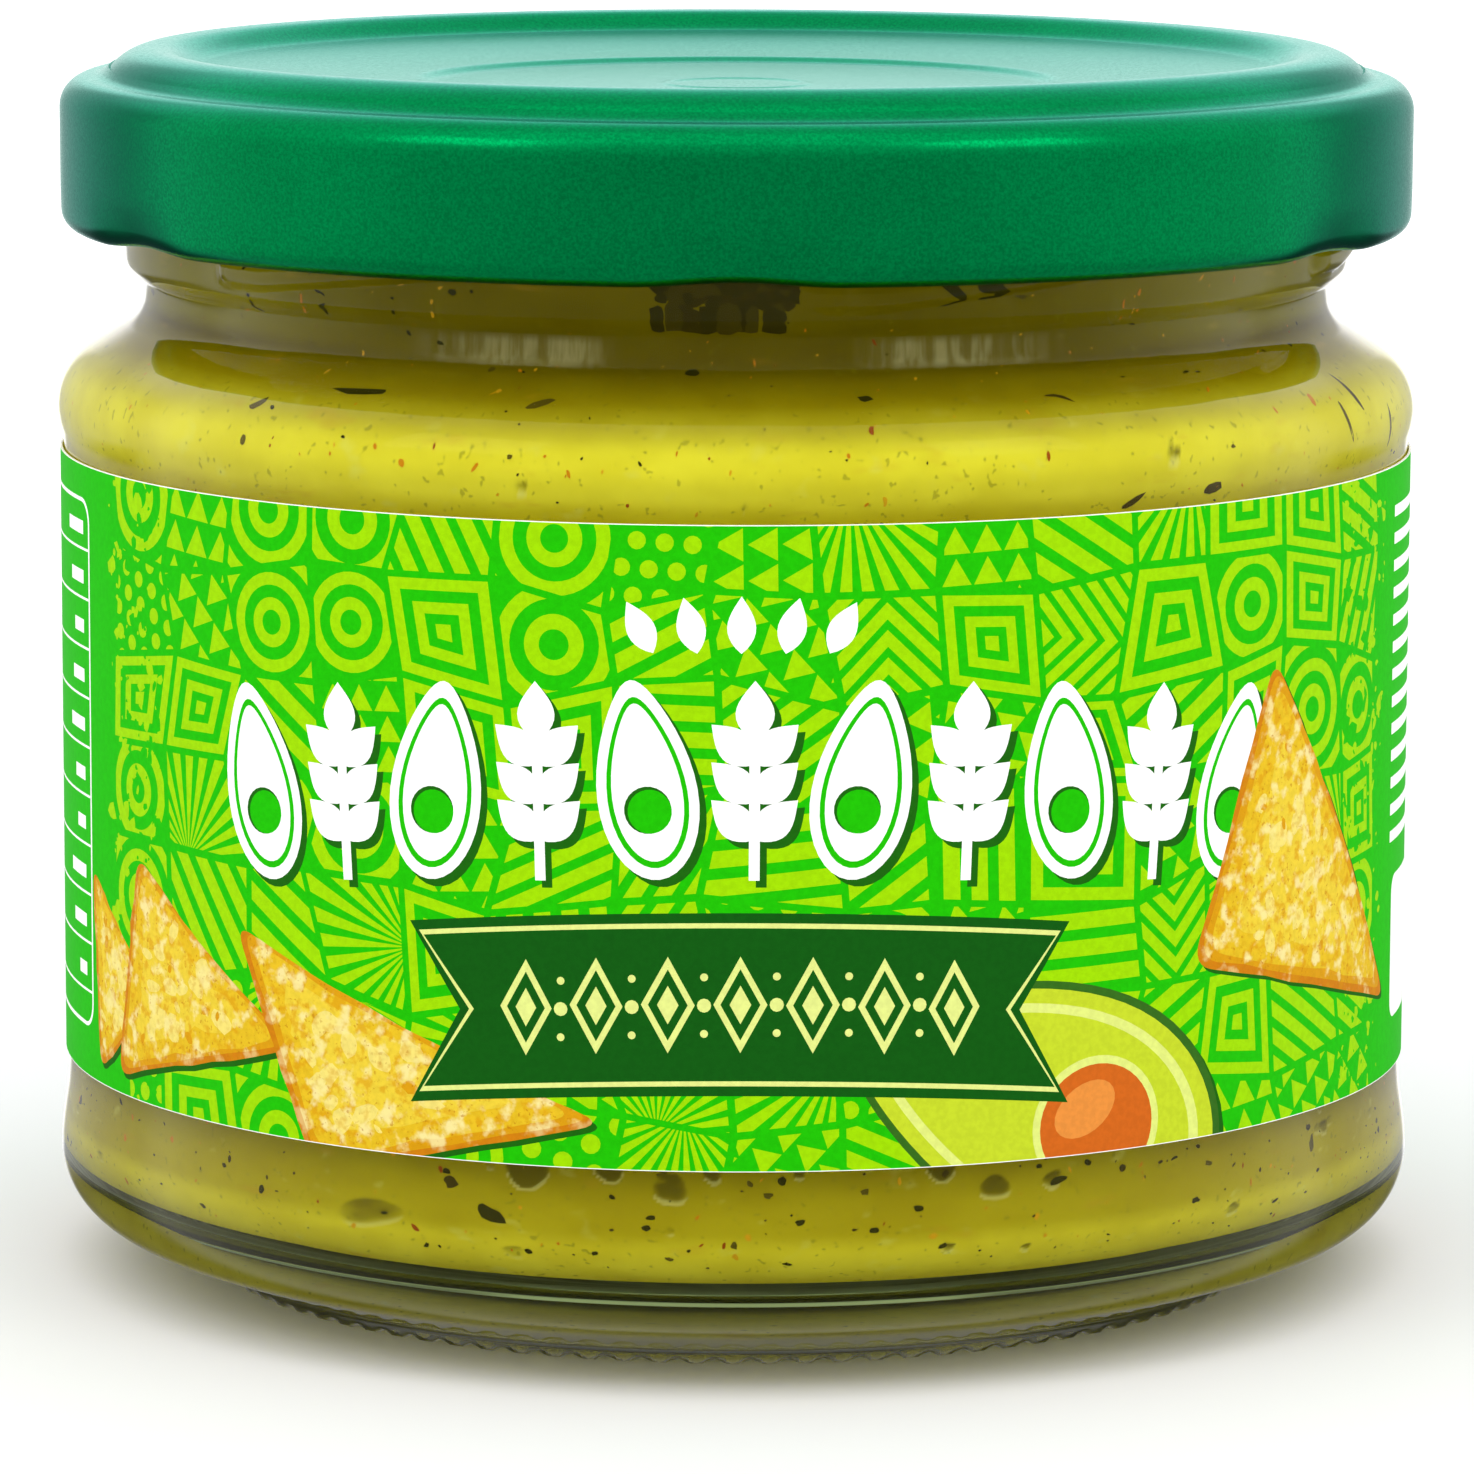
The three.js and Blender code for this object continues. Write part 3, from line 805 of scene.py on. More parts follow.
def lid_material():
    """Green lacquer over tinplate, with a fine dark grain and faint larger clouds."""
    material, tree, shader = new_material("green_lacquer")
    grain = spread(tree, noise(tree, 5200, 2, (1, 1, 1), 0.7), 0.3, 0.7)
    clouds = spread(tree, noise(tree, 120, 2), 0.3, 0.7)
    colour = mixed(tree, grain, (0.0, 0.125, 0.033), (0.0, 0.185, 0.049))
    colour = mixed(tree, clouds, mixed(tree, 1.0, colour, (0.9, 0.93, 0.93), "MULTIPLY"), colour)
    feed(tree, shader, {
        "Base Color": colour, "Roughness": spread(tree, grain, 0.0, 1.0, 0.27, 0.21),
        "Metallic": 1.0, "Specular Tint": (0.58, 0.98, 1.0, 1),
    })
    return material


# The chips' mottling: bumps in a metre, detail, low and high of the noise, greatest share and colour.
MOTTLES = (
    (1300, 3, 0.48, 0.66, 0.7, (0.55, 0.26, 0.004)),
    (900, 3, 0.5, 0.68, 0.8, (0.73, 0.65, 0.30)),
    (3400, 2, 0.62, 0.72, 0.6, (0.36, 0.12, 0.003)),
)


def paper_material():
    """Printed paper: the inks as they are, faintly uneven all over, and a mottling on the chips."""
    material, tree, shader = new_material("printed_paper")
    uneven_ink = spread(tree, noise(tree, 2600, 2), 0.3, 0.7, 0.0, 0.1)
    colour = mixed(tree, uneven_ink, stored(tree, "ink", "Color"), (0.0, 0.0, 0.0))
    share = stored(tree, "grain")
    for scale, detail, low, high, most, tint in MOTTLES:
        mask = product(tree, spread(tree, noise(tree, scale, detail), low, high, 0.0, most), share)
        colour = mixed(tree, mask, colour, tint)
    feed(tree, shader, {"Base Color": colour, "Roughness": 0.45, "Specular IOR Level": 0.02})
    return material


# ---------- the label's print ----------
# Shapes lie flat in (s, z): s is the way round the paper in millimetres, to the right of the front's middle,
# and z is the height above the foot. Later shapes cover earlier ones.

INKS = {
    "paper": (0.86, 0.86, 0.84),
    "ground": (0.012, 0.425, 0.001),
    "lime": (0.280, 0.575, 0.001),
    "shadow": (0.010, 0.105, 0.004),
    "ribbon": (0.005, 0.082, 0.005),
    "cream": (0.62, 0.68, 0.20),
    "chip_edge": (0.50, 0.17, 0.004),
    "chip_dark": (0.56, 0.27, 0.005),
    "chip": (0.63, 0.41, 0.014),
    "chip_mid": (0.67, 0.49, 0.034),
    "chip_light": (0.71, 0.58, 0.14),
    "skin": (0.030, 0.12, 0.010),
    "flesh": (0.45, 0.55, 0.02),
    "flesh_light": (0.61, 0.68, 0.17),
    "stone": (0.52, 0.11, 0.010),
    "stone_light": (0.66, 0.23, 0.04),
}
FIELD_LEFT, FIELD_RIGHT = -45.5, 50.0  # the patterned front of the label
WHITE_EDGE = 0.05  # unprinted paper along the top and the bottom
PAPER_RADIUS = LABEL_INNER + PAPER
PAPER_HALF = math.pi * PAPER_RADIUS
COLUMNS = 180
SHEET_MAP = 122.0  # millimetres of paper over the width of the flat map
LAP_HALF, LAP_STEPS = 2.6, 4  # degrees to each side of the back, and steps round
LEAST_AREA = 0.004
GRAIN = {"chip_edge": 0.5, "chip_dark": 0.9, "chip": 1.0, "chip_mid": 0.9, "chip_light": 0.6}


def moved(points, s, z, turn=0.0):
    """Points turned by degrees against the clock, and moved to (s, z)."""
    c, n = math.cos(turn * DEGREE), math.sin(turn * DEGREE)
    return np.asarray(points, float) @ np.array([[c, n], [-n, c]]) + (s, z)


def oval(half_width, half_height, count=28):
    angle = np.arange(count) * 2 * np.pi / count
    return np.stack([half_width * np.cos(angle), half_height * np.sin(angle)], -1)


def uneven(half_width, half_height, rng, share=0.2, count=9):
    """An oval whose reach differs at random from point to point."""
    return oval(half_width, half_height, count) * rng.uniform(1 - share, 1 + share, (count, 1))


def box(left, low, right, high):
    return np.array([(left, low), (right, low), (right, high), (left, high)], float)


def round_box(left, low, right, high, corner):
    """A rectangle whose corners are quarter circles."""
    turns = np.radians(np.linspace(0, 90, 7))
    quarter = corner * np.stack([np.cos(turns), np.sin(turns)], -1)
    return np.vstack([
        quarter * (1, 1) + (right - corner, high - corner),
        quarter[::-1] * (-1, 1) + (left + corner, high - corner),
        quarter * (-1, -1) + (left + corner, low + corner),
        quarter[::-1] * (1, -1) + (right - corner, low + corner),
    ])


def pear(half_width, half_height, count=40):
    """An avocado's outline: an oval that is narrower towards its top end."""
    angle = np.arange(count) * 2 * np.pi / count
    waist = 0.79 - 0.21 * np.cos(angle) - 0.05 * np.cos(2 * angle)
    return np.stack([-half_width * np.sin(angle) * waist, half_height * np.cos(angle)], -1)


def leaf(length, half_width, count=12):
    """A lens that starts at the origin and ends at (0, length), widest a little below its middle."""
    up = np.linspace(0, 1, count)
    side = half_width * np.sin(np.pi * up**0.85)
    right = np.stack([side, up * length], -1)
    left = np.stack([-side, up * length], -1)[::-1]
    return np.vstack([right, left[1:-1]])


def rounded(corners, radius, rng, wobble, count=7):
    """A polygon with each corner cut by a parabola, its long sides uneven by a seeded wobble."""
    corners = np.asarray(corners, float)

    def towards(start, end):
        """A point at the cut's distance from one corner on the way to another."""
        return start + (end - start) * radius / np.hypot(*(end - start))

    parts = []
    for corner, left, right in zip(corners, np.roll(corners, 1, 0), np.roll(corners, -1, 0)):
        start, end = towards(corner, left), towards(corner, right)
        t = np.linspace(0, 1, count)[:, None]
        parts.append((1 - t) ** 2 * start + 2 * t * (1 - t) * corner + t**2 * end)
        side = end + np.linspace(0, 1, 9)[1:-1, None] * (towards(right, corner) - end)
        parts.append(side + rng.normal(0, wobble, side.shape))
    return np.vstack(parts)


def area(points):
    """The area of a polygon, above 0 where its corners run against the clock."""
    if len(points) < 3:
        return 0.0
    s, z = points.T
    return (s * np.roll(z, -1) - np.roll(s, -1) * z).sum() / 2


def clipped(points, cell):
    """The part of a polygon inside a convex cell, cut by one side of the cell after another. Its corners run
    against the clock."""
    if area(points) <= 0:
        points = points[::-1]
    for start, end in zip(cell, np.roll(cell, -1, 0)):
        if len(points) < 3:
            return points[:0]
        side = end - start
        depth = side[0] * (points[:, 1] - start[1]) - side[1] * (points[:, 0] - start[0])
        after, next_depth = np.roll(points, -1, 0), np.roll(depth, -1)
        crosses = (depth >= 0) != (next_depth >= 0)
        share = depth / np.where(crosses, depth - next_depth, 1)
        cuts = points + share[:, None] * (after - points)
        both = np.stack([points, cuts], 1).reshape(-1, 2)
        points = both[np.stack([depth >= 0, crosses], 1).ravel()]
    return points


def patch_bars(middle, reach, rng):
    """Parallel bars at a seeded slant."""
    slant = rng.choice([0, 30, 60, 90, 120, 150]) + rng.uniform(-6, 6)
    pitch = rng.uniform(1.35, 1.8)
    for k in np.arange(-8, 9):
        yield moved(box(-reach, -0.3 * pitch, reach, 0.3 * pitch) + (0, k * pitch), *middle, slant), "lime"


def patch_chevrons(middle, reach, rng):
    """Nested arrows that point one way, each of two slanted bars."""
    slant = rng.choice([0, 90, 180, 270]) + rng.uniform(-8, 8)
    pitch = rng.uniform(1.5, 1.9)
    thick = 0.62 * pitch
    arm = np.array([(0, 0), (reach, -reach), (reach, thick - reach), (0, thick)])
    for k in np.arange(-6, 8):
        for side in (1, -1):
            yield moved(arm * (side, 1) + (0, k * pitch), *middle, slant), "lime"


def patch_rings(middle, reach, rng):
    """Rings round a point, drawn from the largest disc inwards."""
    pitch = rng.uniform(0.75, 0.95)
    for k in range(int(reach / pitch), 0, -1):
        yield moved(oval(k * pitch, k * pitch, 36), *middle), ("lime", "ground")[k % 2]


def patch_dots(middle, reach, rng):
    """Dots on a slanted grid."""
    slant = rng.uniform(0, 90)
    pitch = rng.uniform(1.5, 1.9)
    dot = oval(0.33 * pitch, 0.33 * pitch, 14)
    for i in range(-4, 5):
        for j in range(-4, 5):
            yield moved(dot + (i * pitch, j * pitch + (i % 2) * pitch / 2), *middle, slant), "lime"


def patch_teeth(middle, reach, rng):
    """Rows of small triangles."""
    slant = rng.choice([0, 45, 90, 135]) + rng.uniform(-6, 6)
    pitch = rng.uniform(1.9, 2.3)
    tooth = np.array([(-0.46, -0.36), (0.46, -0.36), (0, 0.46)]) * pitch
    for i in range(-4, 5):
        for j in range(-4, 5):
            yield moved(tooth + (i * pitch, j * pitch * 0.95), *middle, slant), "lime"


def patch_rays(middle, reach, rng):
    """Wedges that spread from a point at the patch's side."""
    start = rng.uniform(0, 360)
    hub = moved([(0.7 * reach, 0)], 0, 0, start)[0]
    wedge = np.array([(0, 0), (3 * reach, -0.11 * reach), (3 * reach, 0.26 * reach)])
    for k in range(15):
        yield moved(wedge, middle[0] + hub[0], middle[1] + hub[1], start + 96 + k * 12.5), "lime"


def patch_nested(middle, cell):
    """The patch's own outline, smaller and smaller."""
    for k, size in enumerate((1.0, 0.78, 0.56, 0.34, 0.15)):
        yield middle + (cell - middle) * size, ("lime", "ground")[k % 2]


PATCHES = (
    patch_bars, patch_chevrons, patch_rings, patch_dots, patch_teeth, patch_rays, patch_bars, patch_rings
)
PATCH_ROWS, PATCH_COLUMNS = 7, 15
WORN_SPOTS = 420


def pattern_shapes():
    """A patchwork of uneven quads, each filled with one plain pattern, worn thin towards its two ends."""
    rng = np.random.default_rng(41)
    across = np.linspace(FIELD_LEFT - 1, FIELD_RIGHT + 1, PATCH_COLUMNS + 1)
    along = np.linspace(LABEL_BOTTOM - 3.2, LABEL_TOP + 2.4, PATCH_ROWS + 1)
    nodes = np.stack(np.meshgrid(across, along), -1)
    nodes = nodes + rng.uniform(-1.35, 1.35, nodes.shape)
    shapes = []
    for i in range(PATCH_ROWS):
        for j in range(PATCH_COLUMNS):
            cell = np.array([nodes[i, j], nodes[i, j + 1], nodes[i + 1, j + 1], nodes[i + 1, j]])
            middle = cell.mean(0)
            cell = middle + (cell - middle) * 0.93
            reach = np.hypot(*(cell - middle).T).max()
            make = PATCHES[rng.integers(len(PATCHES))]
            nested = rng.random() < 0.2
            pieces = patch_nested(middle, cell) if nested else make(middle, reach, rng)
            shapes += [(clipped(points, cell), ink) for points, ink in pieces]
    left = rng.random(WORN_SPOTS) < 0.5
    near_left = FIELD_LEFT - 2.5 + 7 * rng.random(WORN_SPOTS) ** 0.8
    s = np.where(left, near_left, FIELD_RIGHT + 2.5 - 7 * rng.random(WORN_SPOTS) ** 0.8)
    z = rng.uniform(LABEL_BOTTOM, LABEL_TOP, WORN_SPOTS)
    size = 0.12 + 0.55 * rng.random(WORN_SPOTS) ** 3
    for k in range(WORN_SPOTS):
        inside = FIELD_LEFT < s[k] < FIELD_RIGHT
        blob = uneven(size[k], size[k] * rng.uniform(0.5, 1), rng, 0.4, 7)
        ink = "ground" if inside and k % 5 else "lime"
        shapes.append((moved(blob, s[k], z[k], rng.uniform(0, 180)), ink))
    return shapes


SHADOW_OFFSET = (0.42, -0.42)


def with_shadow(outlines):
    """White shapes, and under them all their shadow."""
    shadows = [(points + SHADOW_OFFSET, "shadow") for points in outlines]
    return shadows + [(points, "paper") for points in outlines]


def avocado_half(s, z, lean):
    """A white avocado half with the line of its skin and a round stone."""
    low = (0, -1.9)
    parts = (
        (pear(2.8, 5.15) - (0, 0.15), "ground"),
        (pear(2.45, 4.75) - (0, 0.15), "paper"),
        (oval(1.42, 1.42, 24) + low + (-0.1, 0.1), "shadow"),
        (oval(1.32, 1.32, 24) + low, "ground"),
    )
    outline = moved(pear(3.5, 6.0), s, z, lean)
    return with_shadow([outline]) + [(moved(part, s, z, lean), ink) for part, ink in parts]


def sprig(s, z, lean):
    """A white herb sprig: a stalk, a leaf at its top and three pairs of leaves down its sides."""
    parts = [box(-0.32, -6.0, 0.32, 3.0), moved(leaf(3.6, 1.15), 0, 2.3)]
    for k in range(3):
        for side in (1, -1):
            parts.append(moved(leaf(3.5, 1.05), 0, 0.9 - 2.25 * k, 47 * side))
    return with_shadow([moved(part, s, z, lean) for part in parts])


def title_shapes():
    """A frieze in place of the title: white avocado halves and leaf sprigs in turn, on a low arch."""
    shapes = []
    for k in range(11):
        s = -31.2 + k * 6.48
        z = 37.4 - 2.1 * ((s - 1) / 34) ** 2
        lean = -s * 0.14 + (8 if k % 4 == 0 else -8) * (k % 2 == 0)
        shapes += sprig(s, z, lean) if k % 2 else avocado_half(s, z, lean)
    return shapes


def sprig_shapes():
    """A row of five small white leaves above the frieze."""
    return [(moved(leaf(3.4, 0.85), 0.4 + k * 2.6, 44.9, -14 * k), "paper") for k in range(-2, 3)]


RIBBON_MIDDLE, RIBBON_ARCH = np.array([0.4, 23.95]), 1.25


def ribbon_outline(grow):
    """A swallow-tailed band on a low arch, made larger by grow."""
    half_length, half_height = 20.4 + grow, 5.5 + grow
    s = np.linspace(-half_length, half_length, 33)
    arch = -RIBBON_ARCH * (s / 20) ** 2
    top = np.stack([s, half_height + arch], -1)[::-1]
    bottom = np.stack([s, -half_height + arch], -1)
    notch = half_length - 3.3
    return np.vstack([bottom, [(notch, arch[-1] * 0.7)], top, [(-notch, arch[0] * 0.7)]]) + RIBBON_MIDDLE


def ribbon_shapes():
    """The ribbon with its line, and a row of lozenges and dots in place of a word."""
    bands = ((0.0, "ribbon"), (-0.6, "cream"), (-0.9, "ribbon"))
    shapes = [(ribbon_outline(grow), ink) for grow, ink in bands]
    for k in range(-3, 4):
        s = RIBBON_MIDDLE[0] + k * 4.3
        z = RIBBON_MIDDLE[1] - RIBBON_ARCH * (k * 4.3 / 20) ** 2
        for size, ink in ((1.0, "cream"), (0.74, "ribbon"), (0.4, "cream")):
            shapes.append((moved(oval(1.6, 2.9, 4) * size, s, z), ink))
        if k < 3:
            for up, dot in ((0, 0.42), (1.7, 0.24), (-1.7, 0.24)):
                shapes.append((moved(oval(dot, dot, 12), s + 2.15, z + up), "cream"))
    return shapes


def chip_shapes(corners, seed):
    """A corn chip: a rounded triangle, browned at its edge and paler inwards, with a few blisters."""
    rng = np.random.default_rng(seed)
    corners = np.asarray(corners, float)
    middle = corners.mean(0)
    edge = rounded(corners, 1.7, rng, 0.08)
    shapes = [(edge + (0.3, -0.3), "shadow"), (edge, "chip_edge")]
    for size, ink in ((0.955, "chip_dark"), (0.88, "chip"), (0.66, "chip_mid")):
        away = 0.5 * (1 - size)
        inner = rounded(middle + (corners - middle) * size, 1.7 * size + 1.2 * (1 - size), rng, away + 0.03)
        shapes.append((inner + (0.12 - away, 0.15 + away), ink))
    for _ in range(26):
        share = rng.dirichlet((1.3, 1.3, 1.3))
        spot = share @ (middle + (corners - middle) * 0.76)
        size = rng.uniform(0.25, 1.0)
        blister = uneven(size, size * rng.uniform(0.4, 0.8), rng, 0.15, 12)
        ink = ("chip_light", "chip_mid", "chip_dark")[rng.integers(3) if size < 0.6 else 0]
        shapes.append((moved(blister, *spot, rng.uniform(0, 180)), ink))
    return shapes


def avocado_shapes():
    """A halved avocado that lies across the label's lower right."""
    s, z, lean = 19.5, 16.9, 68
    shapes = [(moved(pear(9.3, 13.6), s + 0.4, z - 0.4, lean), "shadow")]
    for half_width, half_height, ink in (
        (9.3, 13.6, "skin"), (8.7, 13.0, "flesh"), (7.6, 11.7, "flesh_light"), (6.9, 10.9, "flesh"),
    ):
        shapes.append((moved(pear(half_width, half_height, 60), s, z, lean), ink))
    s, z = moved([(0, -3.7)], s, z, lean)[0]
    return shapes + [
        (moved(oval(4.5, 4.3, 40), s, z), "flesh_light"),
        (moved(oval(4.0, 3.8, 40), s, z), "stone"),
        (moved(oval(2.3, 1.5, 24), s - 0.9, z + 1.1, 30), "stone_light"),
    ]


def side_shapes():
    """The sides and the back: a ruled frame, rows of plain bars, two blank panels and a border of teeth."""
    rng = np.random.default_rng(17)
    shapes = [
        (round_box(-98, 17.0, -51.6, 50.4, 1.6), "paper"),
        (round_box(-97.75, 17.25, -51.85, 50.15, 1.4), "ground"),
        (round_box(55.6, 17.2, 63.5, 26.4, 1.2), "paper"),
        (round_box(-129, 23.5, -103, 47.5, 1.4), "paper"),
        (round_box(101, 30.5, 128, 47.5, 1.4), "lime"),
    ]
    for k in range(10):
        z = 47.2 - k * 3.1
        shapes += [
            (box(-97.7, z - 0.08, -51.9, z + 0.08), "paper"),
            (box(-54.2 - rng.uniform(0.6, 3.2), z + 0.9, -53.0, z + 1.75), "paper"),
            (box(-96.0, z + 0.9, -90 + rng.uniform(0, 14), z + 1.75), "paper"),
        ]
    for count, left, top, pitch, half, shortest, longest, ink in (
        (13, 54.9, 49.6, 1.72, 0.36, 84, 95, "paper"), (6, 103.5, 44.6, 2.3, 0.5, 112, 125, "ground"),
    ):
        for k in range(count):
            z = top - k * pitch
            shapes.append((box(left, z - half, rng.uniform(shortest, longest), z + half), ink))
    tooth = [(-0.8, 0), (0.8, 0), (0, 1.7)]
    for k in range(19):
        s = -133 + k * 1.8
        shapes += [(moved(tooth, side * s, 15.6), "lime") for side in (1, -1)]
    return shapes


def all_print():
    """Every printed shape in the order it is laid down, cut off at the white edges, but not tiny ones."""
    shapes = pattern_shapes() + side_shapes() + sprig_shapes() + title_shapes()
    shapes += chip_shapes([(-51.5, 27.6), (-50.2, 14.6), (-41.5, 20.5)], 5)
    shapes += chip_shapes([(-44.0, 29.4), (-47.0, 14.9), (-28.4, 19.4)], 6)
    shapes += chip_shapes([(-33.5, 26.6), (-27.0, 12.2), (-7.6, 16.6)], 7)
    shapes += avocado_shapes()
    shapes += chip_shapes([(37.2, 42.6), (30.0, 24.5), (53.6, 19.0)], 8)
    shapes += ribbon_shapes()
    whole = box(-PAPER_HALF, LABEL_BOTTOM + WHITE_EDGE, PAPER_HALF, LABEL_TOP - WHITE_EDGE)
    shapes = [(clipped(points, whole), ink) for points, ink in shapes]
    return [(whole, "ground")] + [(points, ink) for points, ink in shapes if area(points) > LEAST_AREA]


def cut_sheet(outlines, low, high):
    """Cuts a flat sheet along all outlines and along upright lines close enough to bend it round the jar.
    Returns its points, its triangles and the last outline that covers each triangle."""
    columns = np.linspace(-PAPER_HALF, PAPER_HALF, COLUMNS + 1)
    upright = np.stack([np.repeat(columns, 2), np.tile([low, high], COLUMNS + 1)], -1)
    points, edges, faces = [upright], [(2 * k, 2 * k + 1) for k in range(COLUMNS + 1)], []
    count = len(upright)
    for outline in [box(-PAPER_HALF, low, PAPER_HALF, high)] + outlines:
        points.append(outline)
        faces.append(list(range(count, count + len(outline))))
        count += len(outline)
    coords = [Vector(p) for p in np.vstack(points)]
    out, _, triangles, _, _, owners = delaunay_2d_cdt(coords, edges, faces, 1, 1e-4, True)
    last = np.array([max(owner) if owner else 0 for owner in owners]) - 1
    return np.array([tuple(p) for p in out]), np.array([tuple(t) for t in triangles]), last


def wrapped(points, radius):
    """Sheet points laid round the jar at a radius."""
    azimuth = points[..., 0] / PAPER_RADIUS
    return np.stack([radius * np.sin(azimuth), -radius * np.cos(azimuth), points[..., 1]], -1)


def make_label():
    """The printed sheet wrapped round the jar, with its bare inner side and edges. In the flat map the sheet
    lies in three rows over one another, and each bare band in an upright strip."""
    shapes = all_print()
    low, high, inner = LABEL_BOTTOM, LABEL_TOP, LABEL_INNER
    points, triangles, last = cut_sheet([points for points, _ in shapes], low, high)
    names = ["paper"] + [ink for _, ink in shapes]
    ink = np.array([INKS[name] for name in names])[last + 1]
    grain = np.array([GRAIN.get(name, 0.0) for name in names])[last + 1]
    third = 2 * PAPER_HALF / 3
    corners = points[triangles]
    row = np.clip(np.floor((corners.mean(1)[:, 0] + PAPER_HALF) / third), 0, 2)[:, None]
    across = corners[..., 0] + PAPER_HALF - row * 2 * PAPER_HALF / 3
    up = corners[..., 1] - low + row * (high - low + 0.7)
    sheet = wrapped(corners, PAPER_RADIUS)
    sheet_map = np.stack([across, up], -1) / SHEET_MAP

    columns = np.linspace(-PAPER_HALF, PAPER_HALF, COLUMNS + 1)
    bands, band_map = [], []
    for rims, place in (
        (((PAPER_RADIUS, high), (inner, high)), (0.76, 0.77)),
        (((inner, high), (inner, low)), (0.79, 0.97)),
        (((inner, low), (PAPER_RADIUS, low)), (0.775, 0.785)),
    ):
        quad, spot = [], []
        for k, side in ((0, 0), (1, 0), (1, 1), (0, 1)):
            radius, height = rims[side]
            quad.append(wrapped(across_and_up(columns[k : k + COLUMNS], height), radius))
            spot.append(across_and_up(place[side], 0.01 + 0.98 * np.arange(k, k + COLUMNS) / COLUMNS))
        bands.append(np.stack(quad, 1))
        band_map.append(np.stack(spot, 1))
    bands, band_map = np.concatenate(bands), np.concatenate(band_map)

    corners = np.vstack([sheet.reshape(-1, 3), bands.reshape(-1, 3)])
    places, index = np.unique(np.round(corners, 4) + 0.0, axis=0, return_inverse=True)
    index = index.ravel()
    threes = index[: 3 * len(sheet)].reshape(-1, 3)
    whole = (threes != np.roll(threes, 1, 1)).all(1)
    sides = np.repeat([3, 4], [whole.sum(), len(bands)])
    index = np.concatenate([threes[whole].ravel(), index[3 * len(sheet) :]])
    label = mesh_object("label_paper", places, index, sides, 50)
    ink = np.vstack([ink[whole], np.tile(INKS["paper"], (len(bands), 1))])
    grain = np.concatenate([grain[whole], np.zeros(len(bands))])
    maps = np.vstack([sheet_map[whole].reshape(-1, 2), band_map.reshape(-1, 2)])
    paint_corners(label.data, np.repeat(ink, sides, 0), np.repeat(grain, sides), maps)
    return label


def paint_corners(mesh, ink, grain, maps):
    """Stores each face corner's ink, its speckle share and its place in the flat map."""
    colours = mesh.color_attributes.new("ink", "FLOAT_COLOR", "CORNER")
    colours.data.foreach_set("color", np.hstack([ink, np.ones((len(ink), 1))]).astype(np.float32).ravel())
    shares = mesh.attributes.new("grain", "FLOAT", "CORNER")
    shares.data.foreach_set("value", grain.astype(np.float32))
    layer = mesh.uv_layers.new(name="OFBake")
    layer.data.foreach_set("uv", maps.astype(np.float32).ravel())


def make_lap():
    """The end of the paper where it laps over the start, a thin curved box behind the jar."""
    turn = np.linspace(180 - LAP_HALF, 180 + LAP_HALF, LAP_STEPS + 1) * DEGREE
    outer, inner = PAPER_RADIUS + 0.1, PAPER_RADIUS - 0.03
    ring = [(outer, LABEL_BOTTOM), (outer, LABEL_TOP), (inner, LABEL_TOP), (inner, LABEL_BOTTOM)]
    points = np.array([(r * np.sin(a), -r * np.cos(a), z) for a in turn for r, z in ring])
    faces = []
    for k in range(0, 4 * LAP_STEPS, 4):
        for side in range(4):
            after = (side + 1) % 4
            faces += [k + side, k + 4 + side, k + 4 + after, k + after]
    end = 4 * LAP_STEPS
    faces += [0, 1, 2, 3, end + 3, end + 2, end + 1, end]
    count = len(faces)
    lap = mesh_object("label_lap", points, faces, np.full(count // 4, 4), 50)
    maps = np.stack([0.985 + 0.01 * (np.arange(count) % 4 > 1), points[faces][:, 2] / 60], -1)
    paint_corners(lap.data, np.tile(INKS["ground"], (count, 1)), np.zeros(count), maps)
    return lap


# ---------- the pieces ----------

HERB_COLOURS = (0.05, 0.045, 0.004), (0.15, 0.115, 0.008), (0.085, 0.06, 0.006)
CHILLI_COLOURS = (0.80, 0.30, 0.006), (0.90, 0.50, 0.01), (0.45, 0.09, 0.004)

finished(make_glass(), clear_glass(), "jar_glass")
finished(make_dip(), dip_material(), "dip")
finished(make_herbs(), bit_material("herb_bits", *HERB_COLOURS))
finished(make_chilli(), bit_material("chilli_bits", *CHILLI_COLOURS))
finished(make_lid(), lid_material(), "lid")
printed_paper = paper_material()
finished(make_label(), printed_paper, "label")
finished(make_lap(), printed_paper)


# ---------- floor, light and camera ----------

FLOOR_RADIUS, FLOOR_STEPS, FLOOR_DROP = 300, 96, 0.02


def staged(name, data):
    """An object of the stage, linked to the scene."""
    obj = bpy.data.objects.new(name, data)
    bpy.context.scene.collection.objects.link(obj)
    return obj


def make_floor():
    """A pale round sheet under the jar."""
    reach = np.linspace(0, FLOOR_RADIUS, 7)
    azimuth, radius, height = spun(np.stack([reach, 0 * reach - FLOOR_DROP], -1), FLOOR_STEPS)
    floor = turned("floor_sheet", radius, height, azimuth)
    floor.data.flip_normals()
    material, tree, shader = new_material("pale_floor")
    feed(tree, shader, {"Base Color": (0.66, 0.66, 0.67, 1), "Roughness": 0.9, "Specular IOR Level": 0.2})
    floor.data.materials.append(material)
    floor.visible_glossy = False
    floor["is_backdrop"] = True


# Soft rectangular lamps, all aimed at the jar's middle: name, place, sizes and watts.
LAMP_AIM = Vector((0, 0, 0.04))
LAMPS = (
    ("lamp_top", (0, -250, 620), (1000, 500), 0.8),
    ("lamp_left", (-434, -364, 451), (280, 260), 0.5),
    ("lamp_right", (434, -364, 451), (280, 260), 0.5),
)


def make_lamps():
    for name, place, size, watts in LAMPS:
        data = bpy.data.lights.new(name, "AREA")
        data.shape = "RECTANGLE"
        data.size, data.size_y = size[0] * MM, size[1] * MM
        data.energy = watts
        lamp = staged(name, data)
        lamp.location = np.array(place, float) * MM
        lamp.rotation_euler = (LAMP_AIM - lamp.location).to_track_quat("-Z", "Y").to_euler()


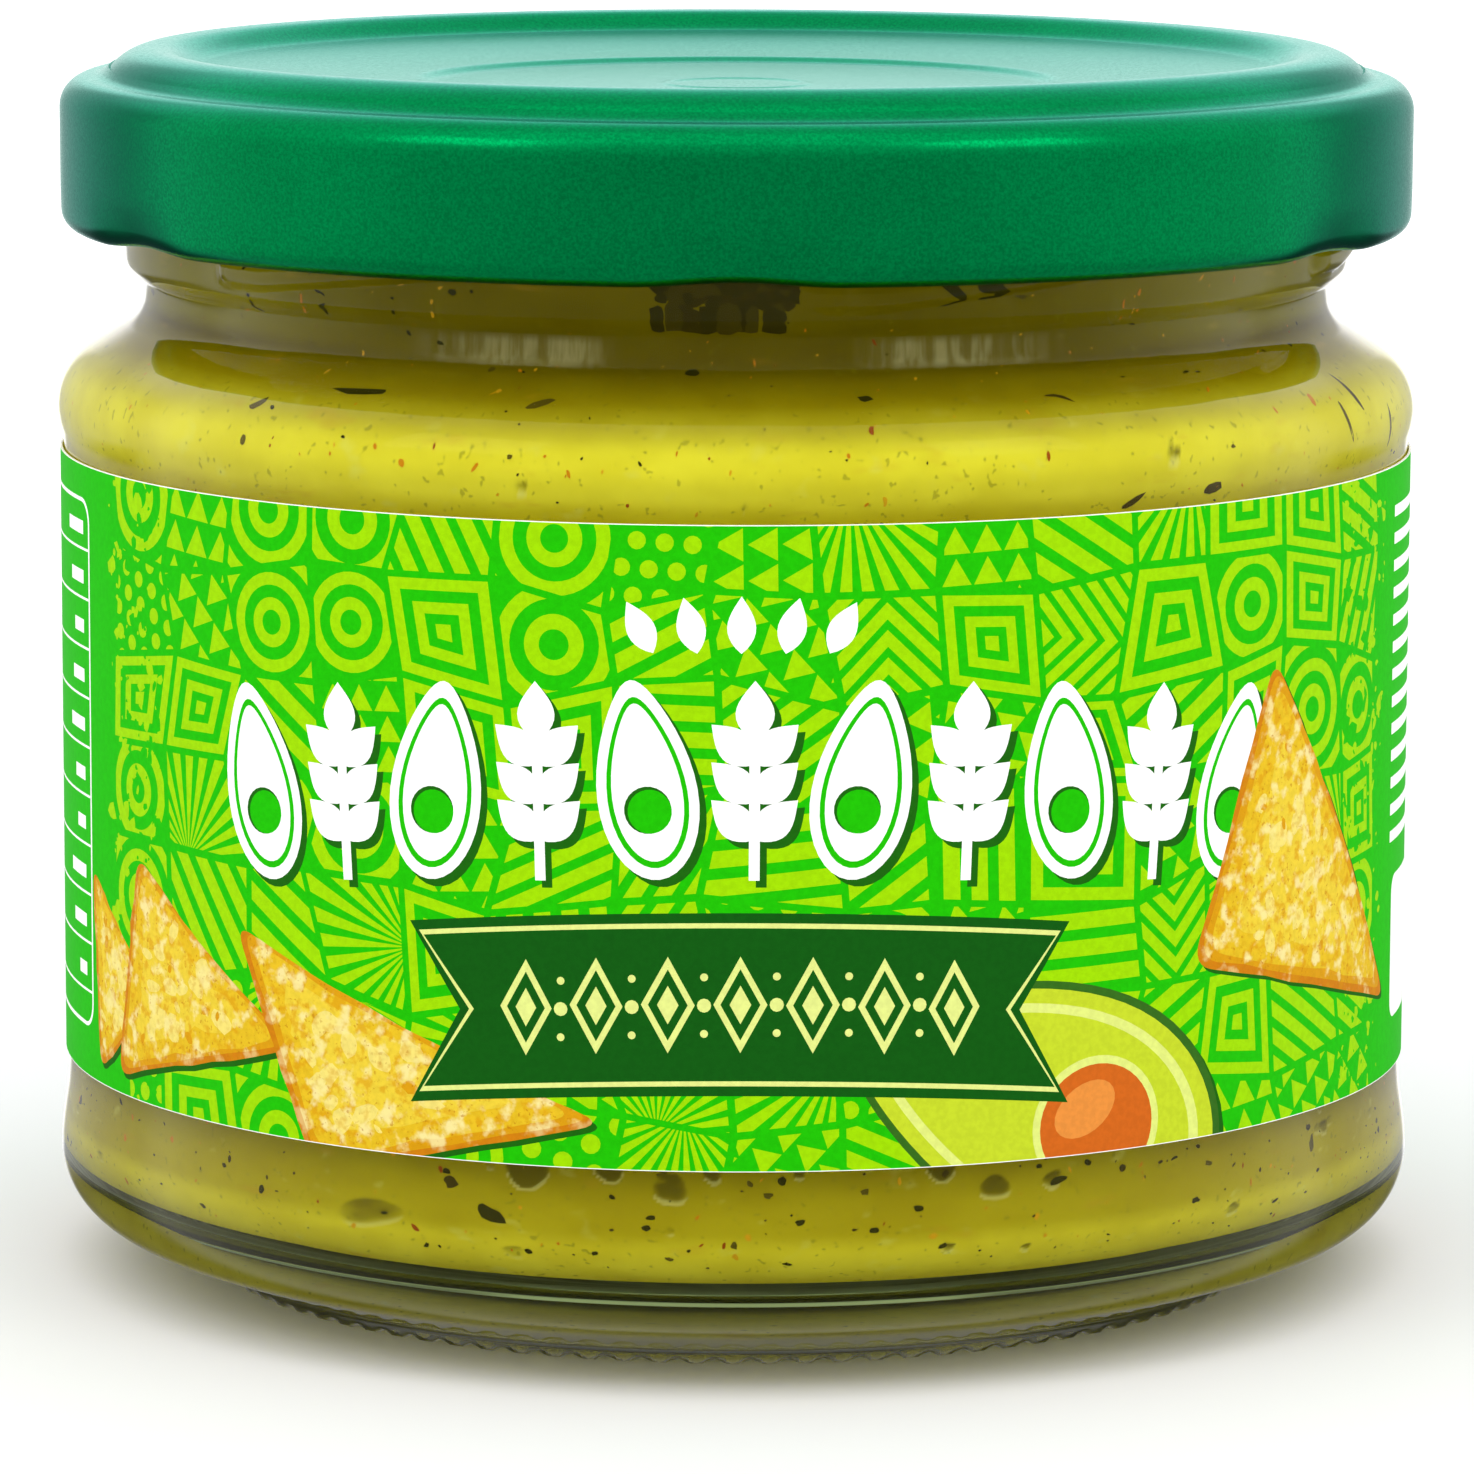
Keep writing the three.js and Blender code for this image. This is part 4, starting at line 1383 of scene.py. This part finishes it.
WORLD_FRONT, WORLD_ROUND = 0.95, 1.63  # the strength low in front, and high up and behind
FLAG_LIGHT, BELOW_LIGHT = 0.43, 0.15  # what is left of it at the flags, and low down behind


def make_world():
    """A pale surrounding light, brighter above, behind and to the sides, with a dark flag on each side
    behind the jar, which gives the glass its dark edges, and dimmer low down behind."""
    world = bpy.data.worlds.new("studio")
    world.use_nodes = True
    tree = world.node_tree
    parts = split(tree, added(tree, "TexCoord")["Generated"])
    aside, back, up = maths(tree, "ABSOLUTE", parts["X"]), parts["Y"], parts["Z"]
    rise = maths(tree, "MULTIPLY_ADD", aside, 0.3, maths(tree, "MULTIPLY_ADD", back, 0.3, up))
    flag = product(
        tree,
        spread(tree, aside, 0.16, 0.3),
        spread(tree, back, 0.3, 0.6),
        spread(tree, up, 0.3, 0.6, 1.0, 0.0),
    )
    below = product(tree, spread(tree, back, 0.4, 0.65), spread(tree, up, -0.3, -0.16, 1.0, 0.0))
    strength = product(
        tree,
        spread(tree, rise, -0.55, 0.6, WORLD_FRONT, WORLD_ROUND),
        spread(tree, flag, 0.0, 1.0, 1.0, FLAG_LIGHT),
        spread(tree, below, 0.0, 1.0, 1.0, BELOW_LIGHT),
    )
    feed(tree, tree.nodes["Background"], {"Color": (1, 1, 1, 1), "Strength": strength})
    bpy.context.scene.world = world


CAMERA_DISTANCE, CAMERA_HEIGHT, CAMERA_ASIDE = 500.63, 111.45, 0.146
CAMERA_PITCH, CAMERA_ROLL, CAMERA_LENS = 8.878, 0.188, 192.52


def make_camera():
    data = bpy.data.cameras.new("photo_camera")
    data.sensor_width = 36
    data.lens = CAMERA_LENS
    data.clip_start = 0.01
    data.clip_end = 20
    camera = staged("photo_camera", data)
    pitch = Matrix.Rotation(math.radians(90 - CAMERA_PITCH), 4, "X")
    roll = Matrix.Rotation(math.radians(CAMERA_ROLL), 4, "Z")
    place = Matrix.Translation((CAMERA_ASIDE * MM, -CAMERA_DISTANCE * MM, CAMERA_HEIGHT * MM))
    camera.matrix_world = place @ (pitch @ roll)
    bpy.context.scene.camera = camera


make_floor()
make_world()
make_lamps()
make_camera()
bpy.context.scene.view_settings.view_transform = "Standard"

sizes = {name: [[float(x) for x in corner] for corner in box] for name, box in (("cad", cad_box), ("visual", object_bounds()))}
